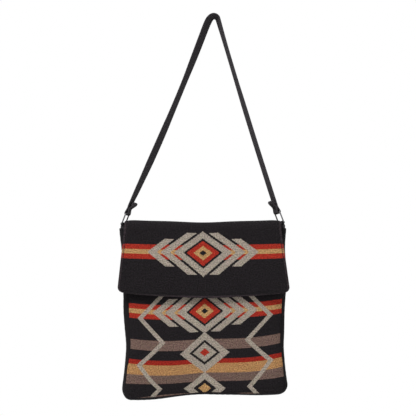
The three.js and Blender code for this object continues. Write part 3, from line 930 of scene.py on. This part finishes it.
def lay_lining(node, grid, flat):
    lay_sheet(node + "_cloth", grid, LINING, lining_cloth, "lining", node, flat=flat, **STRIP_HELD)


for facing, node in ((-1, "lining_front"), (1, "lining_back")):
    grid = panel_grid(facing, LINING_OUTER, LINING, PANEL_SEEDS[facing], LINING_INSET, steps=60)
    lay_lining(node, grid, LINING_FLAT)

lining_path = u_path(PANEL_TOP, LINING_INSET, side_steps=60, corner_steps=8, base_steps=60)
grid = gusset_grid(lining_path, LINING_INSET, LINING_HALF_SPAN, lining_swell, LINING, LINING_SEED)
lay_lining("lining_gusset", grid, strip_flat(LINING_HALF_SPAN, grid[1]))

# %% [markdown]
# ## The flap
# The flap is sewn to the top of the back panel, turns over the mouth in a soft fold and hangs down
# the front. Its profile is drawn once, from the back seam to the hem, and both the wool and the
# facing under it follow that profile at their own depth.

# %% Flap profile
FOLD_RADIUS = 0.017
FLAP_EASE = 0.004
FACING = 0.0012
FLAP_HANG = 0.1208
FLAP_TILT = math.radians(2.5)
FOLD_FRONT = -(HALF_DEPTH + FLAP_EASE + WOOL + GAP + FACING)
FOLD_AXES = (HALF_DEPTH - FOLD_RADIUS, FOLD_FRONT + FOLD_RADIUS)


def flap_profile():
    """Rows of (distance, y, z, outward y, outward z) on the flap's outer face."""
    quarter = math.pi / 2
    turns = ((0, quarter), (quarter, math.pi - FLAP_TILT))
    rows = [(HALF_DEPTH, z, 1.0, 0.0) for z in np.linspace(-PANEL_TOP, -FOLD_RADIUS, 5)[:-1]]
    for axis, (start, stop) in zip(FOLD_AXES, turns):
        for turn in np.linspace(start, stop, 15):
            ny, nz = math.cos(turn), math.sin(turn)
            rows.append((axis + FOLD_RADIUS * ny, FOLD_RADIUS * (nz - 1), ny, nz))
    y, z, ny, nz = rows[-1]
    for hang in np.linspace(0, FLAP_HANG, 60)[1:]:
        rows.append((y - hang * math.sin(FLAP_TILT), z - hang * math.cos(FLAP_TILT), ny, nz))
    rows = np.array(rows)
    return np.column_stack([run_length(rows[:, :2]), rows])


profile = flap_profile()
FLAP_LENGTH = profile[-1, 0]
HANG_START = FLAP_LENGTH - FLAP_HANG
print("flap", round(FLAP_LENGTH, 3), "m from back seam to hem")

# %% [markdown]
# ## How the flap hangs
# The fold sags in its middle, the rings press its ends in, the sides flare towards the hem, and the
# hem bows down and waves where it stands off the body. The topstitching draws a groove inside the
# edges, and the turned edge outside it is a small roll. Draped by a simulation, the layers would
# each settle in their own way. One function gives any point of the flap, at any depth, so the cloth,
# its facing and its stitches stay together.

# %% Sides of the flap
FLAP_SIDE_EASE = 0.0024
FLAP_HALF_TOP = HALF_WIDTH - TWILL - FLAP_SIDE_EASE
FLAP_FLARE = 0.015
FLAP_CORNER = 0.011
FLAP_PINCH = 0.008
PINCH_RISE = 0.0174
STRAP_WIDTH = 0.025
RING_WIRE = 0.0026
RING_CORNER = 0.0022
RING_HALF = (STRAP_WIDTH + 2 * (RING_CORNER + GAP) + RING_WIRE) / 2


def flap_half(hang, inset):
    """Half the flap's width, flaring to the hem and rounded at its two corners."""
    past = np.clip(hang - FLAP_HANG + inset + FLAP_CORNER, 0, FLAP_CORNER)
    flare = FLAP_HALF_TOP + FLAP_FLARE * np.clip(hang / FLAP_HANG, 0, 1)
    return flare - inset - FLAP_CORNER + np.sqrt(FLAP_CORNER ** 2 - past ** 2)


def pinch(y, distance):
    """How far the rings press in the ends of the fold, growing towards each ring's far side."""
    along_bar = np.clip((y / RING_HALF + 1) / 2, 0, 1)
    return FLAP_PINCH * along_bar * smooth(distance, 0, PINCH_RISE)


print("flap", round(2 * (FLAP_HALF_TOP + FLAP_FLARE), 3), "m wide at the hem")

# %% Hem of the flap
HEM_WAVE = 0.0016
HEM_WAVES = 1.35
HEM_WAVE_START = 0.16
FLAP_SLACK = 0.5
FLAP_SEED = 2.6
STITCH_GROOVE = 0.0005
GROOVE_HALF = 0.0012
EDGE_ROLL = 0.0003
ROLL_HALF = 0.0018
SIDE_MARGIN = 0.02
HEM_PUCKER = 0.6
HEM_SEED = 0.9


def flap_stand(x, z, across, share):
    """How far the slack hem waves away from the body."""
    swell = HEM_WAVE * share ** 2 * np.sin(2 * math.pi * (HEM_WAVES * across + HEM_WAVE_START))
    return swell + FLAP_SLACK * soft_waves(x, z, FLAP_SEED) * share


def hem_relief(edge, hem, distance, x):
    """The groove that the topstitching draws, and the roll of the turned edge outside it."""
    groove = STITCH_GROOVE * np.exp(-((hem - HEM_STITCH) / GROOVE_HALF) ** 2)
    roll = EDGE_ROLL * np.exp(-((hem - HEM_STITCH / 2) / ROLL_HALF) ** 2)
    along = np.where(edge < SIDE_MARGIN, distance, x)
    return groove - roll + HEM_PUCKER * seam_puckers(np.abs(hem - HEM_STITCH), along, HEM_SEED)


print("topstitching", 1000 * HEM_STITCH, "mm inside the edge")

# %% Flap surface
FLAP_SWING = 0.0017
FLAP_BOW = 0.0083
FOLD_SAG = 0.0056
SAG_KEPT = 0.4
SAG_POINT = 0.3
SAG_FADE = 0.06
FOLD_END_DIP = 0.003
DIP_REACH = 0.007
DIP_FADE = 0.05


def flap_point(s, distance, depth, inset=0.0):
    """A point at a depth under the flap's outer face; s runs from -1 to 1 between its sides."""
    y, z, ny, nz = (np.interp(distance, profile[:, 0], column) for column in profile.T[1:])
    hang = np.clip(distance - HANG_START, 0, FLAP_HANG)
    share = hang / FLAP_HANG
    half = flap_half(hang, inset) - pinch(y, distance)
    x = s * half
    across = np.clip(x / (half + inset), -1, 1)
    edge = half - np.abs(x) + inset
    rise = smooth(distance, 0.0, HANG_START / 2)
    sag = FOLD_SAG * (1 - across ** 2) * (1 - SAG_POINT * np.sin(math.pi * across) ** 2)
    sag = sag * rise * (1 - (1 - SAG_KEPT) * smooth(hang, 0.0, SAG_FADE))
    dip = FOLD_END_DIP * np.exp(-edge / DIP_REACH) * rise * (1 - smooth(hang, 0.0, DIP_FADE))
    bow = FLAP_BOW * (1 - across ** 2) * share ** 2
    hem = np.where(distance < HANG_START, edge, np.minimum(edge, FLAP_HANG + inset - hang))
    inwards = depth + hem_relief(edge, hem, distance, x)
    y = y - ny * inwards - bow * math.sin(FLAP_TILT) - flap_stand(x, z, across, share)
    z = z - nz * inwards - bow * math.cos(FLAP_TILT) - sag - dip
    return to_frame(x + FLAP_SWING * share, y, z)


hem_middle = flap_point(0.0, FLAP_LENGTH, 0.0)
print("hem", round(FOLD_Z - float(hem_middle[2]), 3), "m below the fold in its middle")

# %% Flap and facing
NEAR_HEM = HEM_STITCH * np.linspace(0.6, 1.4, 7)
HEM_CORNER_TURNS = np.linspace(0, 1.37, 8)
FACING_SET_IN = 0.0012
FLAP_FLAT = (2 * (FLAP_HALF_TOP + FLAP_FLARE), FLAP_LENGTH + FLAP_BOW)
FLAP_SHARE = 0.95
FLAP_FACTS = {"flat": FLAP_FLAT, "held": "folded", "area": FLAP_FLAT[0] * FLAP_FLAT[1] * FLAP_SHARE}


def flap_grid(depth, thickness, inset, across_steps, along_steps):
    """Middle points of a layer of the flap, closer together at the stitching and the corners."""
    rim = thickness / 2
    hem = FLAP_LENGTH - inset
    side = 1 - NEAR_HEM / FLAP_HALF_TOP
    across = edged(-1, 1, across_steps, rim / FLAP_HALF_TOP)
    across = np.unique(np.concatenate([across, side, -side]))
    corner = hem - FLAP_CORNER * (1 - np.sin(HEM_CORNER_TURNS))
    along = np.unique(np.concatenate([edged(0, hem, along_steps, rim), corner, hem - NEAR_HEM]))
    s, distance = np.meshgrid(across, along)
    x = s * flap_half(np.clip(distance - HANG_START, 0, FLAP_HANG), inset)
    cloth = np.stack([x, distance - HANG_START + FOLD_RADIUS], axis=-1)
    return flap_point(s, distance, depth + rim, inset), cloth


grid = flap_grid(0, WOOL, 0, across_steps=150, along_steps=130)
facts = {"rests_on": ["back_panel"], **FLAP_FACTS}
lay_sheet("flap_cloth", grid, WOOL, flap_wool, "wool", "flap", **facts)

grid = flap_grid(WOOL + GAP, FACING, FACING_SET_IN, across_steps=100, along_steps=100)
facts = {"rests_on": ["flap"], **FLAP_FACTS}
lay_sheet("flap_facing_cloth", grid, FACING, twill_cloth, "twill", "flap_facing", **facts)

# %% [markdown]
# ## Wire rings
# Each ring is a length of round wire bent to a rectangle with small corners and butted in its lower
# bar, where the tab hides the joint. It leans in towards the strap and is turned, so its far side
# stands further in. A curve with a round bevel would make it too. A tube swept point by point round
# the same path as the solid also carries the map that the tarnish is drawn on.

# %% Places of the rings
SIDES = {-1: "left", 1: "right"}
RING_LEAN = math.radians(21)
RING_TURN = {-1: math.radians(9), 1: math.radians(15.5)}
RING_SIDE_GAP = 0.0005
RING_DROP = {-1: 0.009, 1: 0.0064}


def ring_foot(drop, turn):
    """How far out the ring's lower bar stands, so that both its side wires clear the fold's end."""
    offset = RING_HALF * math.sin(turn)
    out = offset * math.cos(RING_LEAN)
    rise = offset * math.sin(RING_LEAN)
    near = FLAP_HALF_TOP + (drop - rise) * math.tan(RING_LEAN) - out
    far = FLAP_HALF_TOP - FLAP_PINCH + (drop + rise) * math.tan(RING_LEAN) + out
    return max(near, far) + RING_SIDE_GAP + RING_WIRE / 2 / math.cos(RING_LEAN)


def ring_place(side):
    """The ring's own axes: its lower bar along y at the origin, its sides up along z."""
    foot = BAG_X + side * ring_foot(RING_DROP[side], RING_TURN[side])
    move = Matrix.Translation((foot, 0, FOLD_Z - RING_DROP[side]))
    lean = Matrix.Rotation(-side * RING_LEAN, 4, "Y")
    turn = Matrix.Rotation(side * RING_TURN[side], 4, "Z")
    return np.array(move @ lean @ turn)


def by(place, points):
    """Points in a ring's axes, as points of the frame."""
    return points @ place[:3, :3].T + place[:3, 3]


ring_places = {side: ring_place(side) for side in SIDES}
print("rings at x", [round(float(place[0, 3]), 4) for place in ring_places.values()])

# %% Rings
RING_BEND = RING_CORNER + RING_WIRE / 2
RING_OPENING = 0.019
RING_PITCH = RING_OPENING + RING_WIRE
WIRE_SIDES = 20


def ring_path():
    """Rounded rectangle in the ring's plane, with the outward direction at every point."""
    places, outward = [], []
    for quarter, (sy, sz) in enumerate(((1, 1), (-1, 1), (-1, -1), (1, -1))):
        corner_y = sy * (RING_HALF - RING_BEND)
        corner_z = RING_PITCH / 2 + sz * (RING_PITCH / 2 - RING_BEND)
        for turn in (quarter + np.linspace(0, 1, 9)) * math.pi / 2:
            out = np.array([0, math.cos(turn), math.sin(turn)])
            places.append(np.array([0, corner_y, corner_z]) + RING_BEND * out)
            outward.append(out)
    return np.array(places), np.array(outward)


def wire_ring(name, place):
    """A tube round the ring's path; its map is the place seen from the side."""
    path, outward = ring_path()
    outward = outward @ place[:3, :3].T
    turn = np.linspace(0, 2 * math.pi, WIRE_SIDES, endpoint=False)[None, :, None]
    section = np.cos(turn) * outward[:, None] + np.sin(turn) * place[:3, 0]
    points = (by(place, path)[:, None] + RING_WIRE / 2 * section).reshape(-1, 3)
    index = np.arange(len(points)).reshape(len(path), WIRE_SIDES)
    after = np.roll(index, -1, axis=0)
    corners = (after, np.roll(after, -1, axis=1), np.roll(index, -1, axis=1), index)
    faces = np.stack(corners, axis=-1).reshape(-1, 4).tolist()
    return make_piece(name, points.tolist(), faces, ring_nickel, {"cloth": points[:, 1:]})


for side, word in SIDES.items():
    place_piece(wire_ring(word + "_ring_wire", ring_places[side]), "nickel", word + "_ring")

# %% [markdown]
# ## Tabs
# A short piece of webbing goes round the ring's lower bar, and both ends are sewn between the
# gusset and the lining. A plane bent by hand would meet the bar only roughly. Here the tab is laid
# row by row: up inside the gusset, round the bar from where it first touches, and down again.

# %% Tabs
TAB_WEBBING = 0.0018
TAB_LENGTH = 0.031
TAB_FIT = 0.0005
TAB_BELOW_BAR = 0.0041
WEBBING_STEPS = 15


def tangent_turn(x, z, radius, sense):
    """The turn at which a line from a point, given from a circle's centre, touches the circle."""
    return np.arctan2(z, x) + sense * np.arccos(radius / np.hypot(x, z))


def across_webbing(thickness):
    return edged(-STRAP_WIDTH / 2, STRAP_WIDTH / 2, WEBBING_STEPS, thickness / 2)


def tab_grid(side):
    """Middle points of a tab, and their places on its webbing."""
    rim = TAB_WEBBING / 2
    place = ring_places[side]
    w = across_webbing(TAB_WEBBING)
    reach = RING_WIRE / 2 + GAP + rim
    outer = TWILL + TAB_FIT + rim
    inner = outer + TAB_WEBBING + GAP
    outer_top = RING_DROP[side] + TAB_BELOW_BAR

    def on_gusset(inset, drop):
        x = HALF_WIDTH + GUSSET_SWELL * (1 - (w / LINING_OUTER) ** 2) - inset
        x, z = settle(side * x, np.full_like(w, -drop))
        return to_frame(x, w, z)

    def leave(inset, drop, sense):
        bar = by(place, np.stack([0 * w, w, 0 * w], axis=-1))
        away = on_gusset(inset, drop) - bar
        return tangent_turn(side * away[:, 0], away[:, 2], reach, sense) - RING_LEAN

    first = leave(outer, outer_top, 1)
    last = leave(inner, GUSSET_TOP, -1) + 2 * math.pi

    def on_ring(share):
        turn = first + (last - first) * share
        return by(place, np.stack([side * reach * np.cos(turn), w, reach * np.sin(turn)], axis=-1))

    def drops(top):
        return edged(top, GUSSET_TOP + TAB_LENGTH, 8, rim)[RIM_STEPS:]

    rows = [on_gusset(outer, drop) for drop in reversed(drops(outer_top))]
    rows += [on_ring(share) for share in np.linspace(0, 1, 18)]
    rows += [on_gusset(inner, drop) for drop in drops(GUSSET_TOP)]
    middle = np.array(rows)
    length = run_length(middle[:, len(w) // 2])
    return middle, np.stack(np.meshgrid(w, length), axis=-1)


for side, word in SIDES.items():
    grid = tab_grid(side)
    flat = (STRAP_WIDTH, float(grid[1][-1, 0, 1]))
    facts = {"flat": flat, "held": "folded", "rests_on": [word + "_ring"]}
    node = word + "_tab"
    lay_sheet(node + "_webbing", grid, TAB_WEBBING, webbing_cloth, "webbing", node, **facts)

# %% [markdown]
# ## The strap
# The strap is one length of heavy webbing. It comes down from the hang point in two almost straight
# legs, goes through each ring from outside, and is turned back and sewn to itself. Its cut end is
# turned under and stands off a little. A curve with a flat bevel could carry it, but its tilt is
# hard to hold round the wire. So the route is points, each with the way in which the width runs.

# %% Turned-back ends
STRAP_WEBBING = 0.0024
TURNED_END = 0.022
TURNED_END_PEEL = {-1: 0.0070, 1: 0.0044}
PEEL_SHARE = 0.6
HEM_DEPTH = TURNED_END / 5
LEG_LEAD = 0.012
STRAP_REACH = RING_WIRE / 2 + GAP + STRAP_WEBBING / 2
BESIDE = (STRAP_WEBBING + GAP) / 2
HEM_RADIUS = STRAP_WEBBING / 2 + GAP


def leg_lead(up):
    """How far the strap's middle stands out from the ring's plane, at a height over the bar."""
    return STRAP_REACH + (BESIDE - STRAP_REACH) * smooth(up, 0, LEG_LEAD)


def tail_lead(up, side):
    """How far the turned-back end stands in from the ring's plane, at a height over the bar."""
    down = 1 - up / TURNED_END
    near = BESIDE + TURNED_END_PEEL[side] * (1 - smooth(down, 0, PEEL_SHARE))
    return near + (STRAP_REACH - near) * smooth(down, PEEL_SHARE, 1)


def turned_end(side):
    """From the cut end, turned under, down to the ring, round its upper bar and to the leg."""
    rows = []
    for up in np.linspace(TURNED_END - HEM_DEPTH, TURNED_END, 9)[:-1]:
        rows.append((2 * HEM_RADIUS - tail_lead(up, side), up))
    for turn in np.linspace(0, math.pi, 12)[:-1]:
        out = HEM_RADIUS * (1 + math.cos(turn)) - tail_lead(TURNED_END, side)
        rows.append((out, TURNED_END + HEM_RADIUS * math.sin(turn)))
    for up in np.linspace(TURNED_END, 0, 22)[:-1]:
        rows.append((-tail_lead(up, side), up))
    for turn in np.linspace(0, math.pi, 20):
        rows.append((-STRAP_REACH * math.cos(turn), -STRAP_REACH * math.sin(turn)))
    for up in np.linspace(0, LEG_LEAD, 10)[1:]:
        rows.append((leg_lead(up), up))
    out, up = np.array(rows).T
    points = np.stack([side * out, 0 * out, RING_PITCH + up], axis=-1)
    place = ring_places[side]
    return by(place, points), np.tile(place[:3, 1], (len(rows), 1))


left_end, left_ways = turned_end(-1)
right_end, right_ways = turned_end(1)
print("turned-back ends", round(1000 * (TURNED_END + HEM_RADIUS), 1), "mm above the rings")

# %% [markdown]
# ## Legs and shoulders
# The strap is twisted, so the front shows its inner face. How far it is turned follows from how
# wide it shows in the picture, and is written as a short list: the distance from the left end, and
# the turn in degrees. The left shoulder is a bend that slackens until it runs into the leg. The
# right one is a plain arc.

# %% Legs and shoulders
HANG_SHIFT = 0.0011
HANG_POINT = np.array([HANG_SHIFT, 0, STRAP_WEBBING / 2])
LEFT_BEND = 0.0065
RIGHT_BEND = 0.0082
SHOULDER_REACH = 0.04
FIRST_SLOPE = 1.2
SLOPE_ROUNDS = 12
LEG_SAG = {-1: 0.004, 1: 0.0016}
TWISTS = (
    (0.000, 9), (0.021, 18.5), (0.058, 19), (0.078, 25), (0.155, 25), (0.194, 20),
    (0.260, 18.5), (0.311, 26), (0.384, 28), (0.396, 19.5), (0.403, 18.5), (0.411, 17),
    (0.455, 12), (0.533, 12.5), (0.578, 16), (0.707, 16.5), (0.756, 17.5), (0.782, 15.5),
)
TWIST_EASE = 8


def leg(start, stop, side):
    """An almost straight run that bows in towards the other leg."""
    f = np.linspace(0, 1, 130)[1:-1]
    points = start + (stop - start) * f[:, None]
    points[:, 0] -= side * 4 * LEG_SAG[side] * f * (1 - f)
    return points


def left_shoulder(foot):
    """From the hang point to the left leg; the slope that it runs into is found in a few rounds."""
    along = np.linspace(0, SHOULDER_REACH, 60)
    between = (along[:-1] + along[1:]) / 2
    slope = FIRST_SLOPE
    for _ in range(SLOPE_ROUNDS):
        turn = slope * (1 - np.exp(-between / LEFT_BEND))
        ways = np.stack([-np.cos(turn), 0 * turn, -np.sin(turn)], axis=-1)
        steps = np.diff(along)[:, None] * ways
        points = HANG_POINT + np.insert(np.cumsum(steps, axis=0), 0, 0, axis=0)
        up = points[-1] - foot
        slope = math.atan2(up[2], up[0]) + 4 * LEG_SAG[-1] / np.linalg.norm(up)
    return points


def right_shoulder(foot):
    """From the hang point round a plain bend to where the right leg leaves it."""
    centre = HANG_POINT - (0, 0, RIGHT_BEND)
    stop = tangent_turn((foot - centre)[0], (foot - centre)[2], RIGHT_BEND, 1)
    turn = np.linspace(math.pi / 2, stop, 22)
    return centre + RIGHT_BEND * np.stack([np.cos(turn), 0 * turn, np.sin(turn)], axis=-1)


def width_ways(points):
    """Y, turned about the strap's own run by its twist, which changes without a kink."""
    distance, degrees = np.array(TWISTS).T
    twist = np.interp(run_length(points), distance, np.radians(degrees))
    window = 2 * TWIST_EASE + 1
    padded = np.pad(twist, TWIST_EASE, mode="edge")
    twist = np.convolve(padded, np.full(window, 1 / window), mode="valid")
    run = unit(np.gradient(points, axis=0))
    y = np.array([0, 1.0, 0])
    level = unit(y - run * (run @ y)[:, None])
    return level * np.cos(twist)[:, None] - np.cross(run, level) * np.sin(twist)[:, None]


left_bend = left_shoulder(left_end[-1])
right_bend = right_shoulder(right_end[-1])
left_leg = leg(left_end[-1], left_bend[-1], -1)
right_leg = leg(right_bend[-1], right_end[-1], 1)
free = np.concatenate([left_leg, left_bend[::-1], right_bend[1:], right_leg])
print("strap", round(float(run_length(free)[-1]), 3), "m long between its ends")

# %% Strap
route = np.concatenate([left_end, free, right_end[::-1]])
ways = np.concatenate([left_ways, width_ways(free), right_ways[::-1]])
w = across_webbing(STRAP_WEBBING)
strap_middle = route[:, None] + ways[:, None] * w[None, :, None]
run = run_length(route)
grid = (strap_middle, np.stack(np.meshgrid(w, run), axis=-1))
flat = (STRAP_WIDTH, float(run[-1]))
facts = {"flat": flat, "held": "hung", "rests_on": ["left_ring", "right_ring"]}
lay_sheet("strap_webbing", grid, STRAP_WEBBING, webbing_cloth, "webbing", "strap", **facts)
print("strap", round(float(run[-1]), 3), "m long")

# %% [markdown]
# ## The magnetic snap
# Under the flap a flat magnetic snap keeps it shut: a socket on the front panel and a stud on the
# facing. Cylinders with a bevel would need cutting for the recess. Turned from an outline, as on a
# lathe, both discs get their eased edges at once. The boxes of their solids give their places.

# %% Snap
EASE = 0.0003
SNAP_RECESS = 0.0046
SNAP_DEEP = 0.0014
DISC_SIDES = 56


def turned_disc(name, outline, centre):
    """A disc turned about the y axis from (radius, y) points that start and end on the axis."""
    x, z = centre
    turns = np.linspace(0, 2 * math.pi, DISC_SIDES, endpoint=False)
    points = [(x, outline[0][1], z), (x, outline[-1][1], z)]
    for radius, y in outline[1:-1]:
        points += [(x + radius * math.cos(turn), y, z + radius * math.sin(turn)) for turn in turns]
    last = len(points) - DISC_SIDES
    faces = []
    for i in range(DISC_SIDES):
        j = (i + 1) % DISC_SIDES
        faces += [(0, 2 + i, 2 + j), (1, last + j, last + i)]
        for row in range(2, last, DISC_SIDES):
            after = row + DISC_SIDES
            faces.append((row + i, after + i, after + j, row + j))
    maps = {"cloth": np.array(points)[:, [0, 2]]}
    return make_piece(name, points, faces, snap_nickel, maps, smooth_shaded=False)


def socket_outline(low, high, radius):
    floor_y = low + SNAP_DEEP
    outline = [(0, floor_y), (SNAP_RECESS, floor_y), (SNAP_RECESS, low + EASE)]
    outline += [(SNAP_RECESS + EASE, low), (radius - EASE, low), (radius, low + EASE)]
    return outline + [(radius, high - EASE), (radius - EASE, high), (0, high)]


def stud_outline(low, high, radius):
    rise = high - SNAP_DEEP
    boss = SNAP_RECESS - GAP
    outline = [(0, low), (radius - EASE, low), (radius, low + EASE), (radius, rise - EASE)]
    outline += [(radius - EASE, rise), (boss, rise), (boss, high - EASE)]
    return outline + [(boss - EASE, high), (0, high)]


for node, outline_of in (("snap_socket", socket_outline), ("snap_stud", stud_outline)):
    low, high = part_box(node)
    outline = outline_of(low.y, high.y, (high.x - low.x) / 2)
    disc = turned_disc(node + "_disc", outline, ((low.x + high.x) / 2, (low.z + high.z) / 2))
    place_piece(disc, "nickel", node)

# %% [markdown]
# ## Stitching
# Black thread on black cloth hardly shows, but the flap's topstitching catches the light as a fine
# dotted line inside its edges, and another row holds the flap to the back panel. Dashes in the
# material would look painted on. Here each stitch is a small closed bead of thread half sunk in the
# cloth.

# %% Stitches
STITCH = 0.0026
STITCH_PITCH = 0.0034
THREAD_RADIUS = 0.00045
BEAD_SIDES = 6
BEAD_SECTIONS = ((-0.36, 0.8), (0.0, 1.0), (0.36, 0.8))
BEAD_TURNS = np.linspace(0, 2 * math.pi, BEAD_SIDES, endpoint=False)


def at(distance, length, values):
    """Values along a run, read at a distance from its start."""
    return np.array([np.interp(distance, length, column) for column in values.T])


def bead_faces(first):
    """Faces of a bead whose points start at a number: two belts and a point at each end."""
    tip = first + BEAD_SIDES * len(BEAD_SECTIONS)
    last = tip - BEAD_SIDES
    faces = []
    for i in range(BEAD_SIDES):
        j = (i + 1) % BEAD_SIDES
        for row in range(first, last, BEAD_SIDES):
            after = row + BEAD_SIDES
            faces.append((row + i, row + j, after + j, after + i))
        faces += [(tip, first + j, first + i), (tip + 1, last + i, last + j)]
    return faces


def stitch_beads(name, runs, slot):
    """Beads of thread along runs of (points, normals), all in one piece."""
    points, faces, places = [], [], []
    for path, normal in runs:
        length = run_length(path)
        count = max(1, int(length[-1] / STITCH_PITCH))
        for centre in (np.arange(count) + 0.5) * length[-1] / count:
            ends = np.clip([centre - STITCH / 2, centre + STITCH / 2], 0, length[-1])
            a, b = (at(end, length, path) for end in ends)
            side = unit(np.cross(b - a, at(centre, length, normal)))
            up = unit(np.cross(side, b - a))
            faces += bead_faces(len(points))
            for share, fat in BEAD_SECTIONS:
                middle = (a + b) / 2 + (b - a) * share
                for turn in BEAD_TURNS:
                    out = side * math.cos(turn) + up * math.sin(turn)
                    points.append(middle + THREAD_RADIUS * fat * out)
                    places.append((turn * THREAD_RADIUS, centre + share * STITCH))
            points += [a, b]
            places += [(0, end) for end in ends]
    maps = {"cloth": places, "border": np.full((len(places), 2), WOVEN_EDGE)}
    place_piece(make_piece(name, np.array(points).tolist(), faces, thread, maps), slot)


print("stitches", 1000 * STITCH, "mm long, one every", 1000 * STITCH_PITCH, "mm")

# %% Topstitching of the flap
SIDE_ROW_START = 0.012
SIDE_ROW_END = 0.001
HEM_ROW_LIFT = 0.0004
HEM_ROW_SHARE = 0.985


def on_flap(s, distance, step=0.0005, side_step=0.002):
    """Points on the stitching line of the flap's outer face, and their normals."""
    here = flap_point(s, distance, 0.0, HEM_STITCH)
    ahead = flap_point(s, distance + step, 0.0, HEM_STITCH)
    aside = flap_point(s + side_step, distance, 0.0, HEM_STITCH)
    return here, unit(np.cross(ahead - here, aside - here))


hem_line = FLAP_LENGTH - HEM_STITCH
down = np.linspace(SIDE_ROW_START, hem_line - SIDE_ROW_END, 160)
level = np.linspace(-HEM_ROW_SHARE, HEM_ROW_SHARE, 200)
flap_runs = [on_flap(np.full_like(down, s), down) for s in (-1.0, 1.0)]
for line in (HEM_STITCH, hem_line - HEM_ROW_LIFT):
    flap_runs.append(on_flap(level, np.full_like(level, line)))
stitch_beads("flap_topstitching", flap_runs, "wool")

# %% [markdown]
# ## Rows of stitches across the strap
# Where the strap is turned back, three rows of stitches across its width hold the two layers. They
# stay close to the ring, so the last of the cut end is free to curl away. The beads show on the
# outer face of the leg and on the inner face of the turned-back end.

# %% Rows across the strap
STITCH_ROWS = (0.0055, 0.0075, 0.0095)
ROW_MARGIN = 0.002
row_half = STRAP_WIDTH / 2 - ROW_MARGIN
width = np.linspace(-row_half, row_half, 30)
strap_runs = []
for side, place in ring_places.items():
    for up in STITCH_ROWS:
        for facing, lead in ((side, leg_lead(up)), (-side, tail_lead(up, side))):
            face = np.full_like(width, facing * (lead + STRAP_WEBBING / 2))
            row = np.stack([face, width, np.full_like(width, RING_PITCH + up)], axis=-1)
            outward = np.tile(facing * place[:3, 0], (len(width), 1))
            strap_runs.append((by(place, row), outward))
stitch_beads("strap_stitching", strap_runs, "webbing")
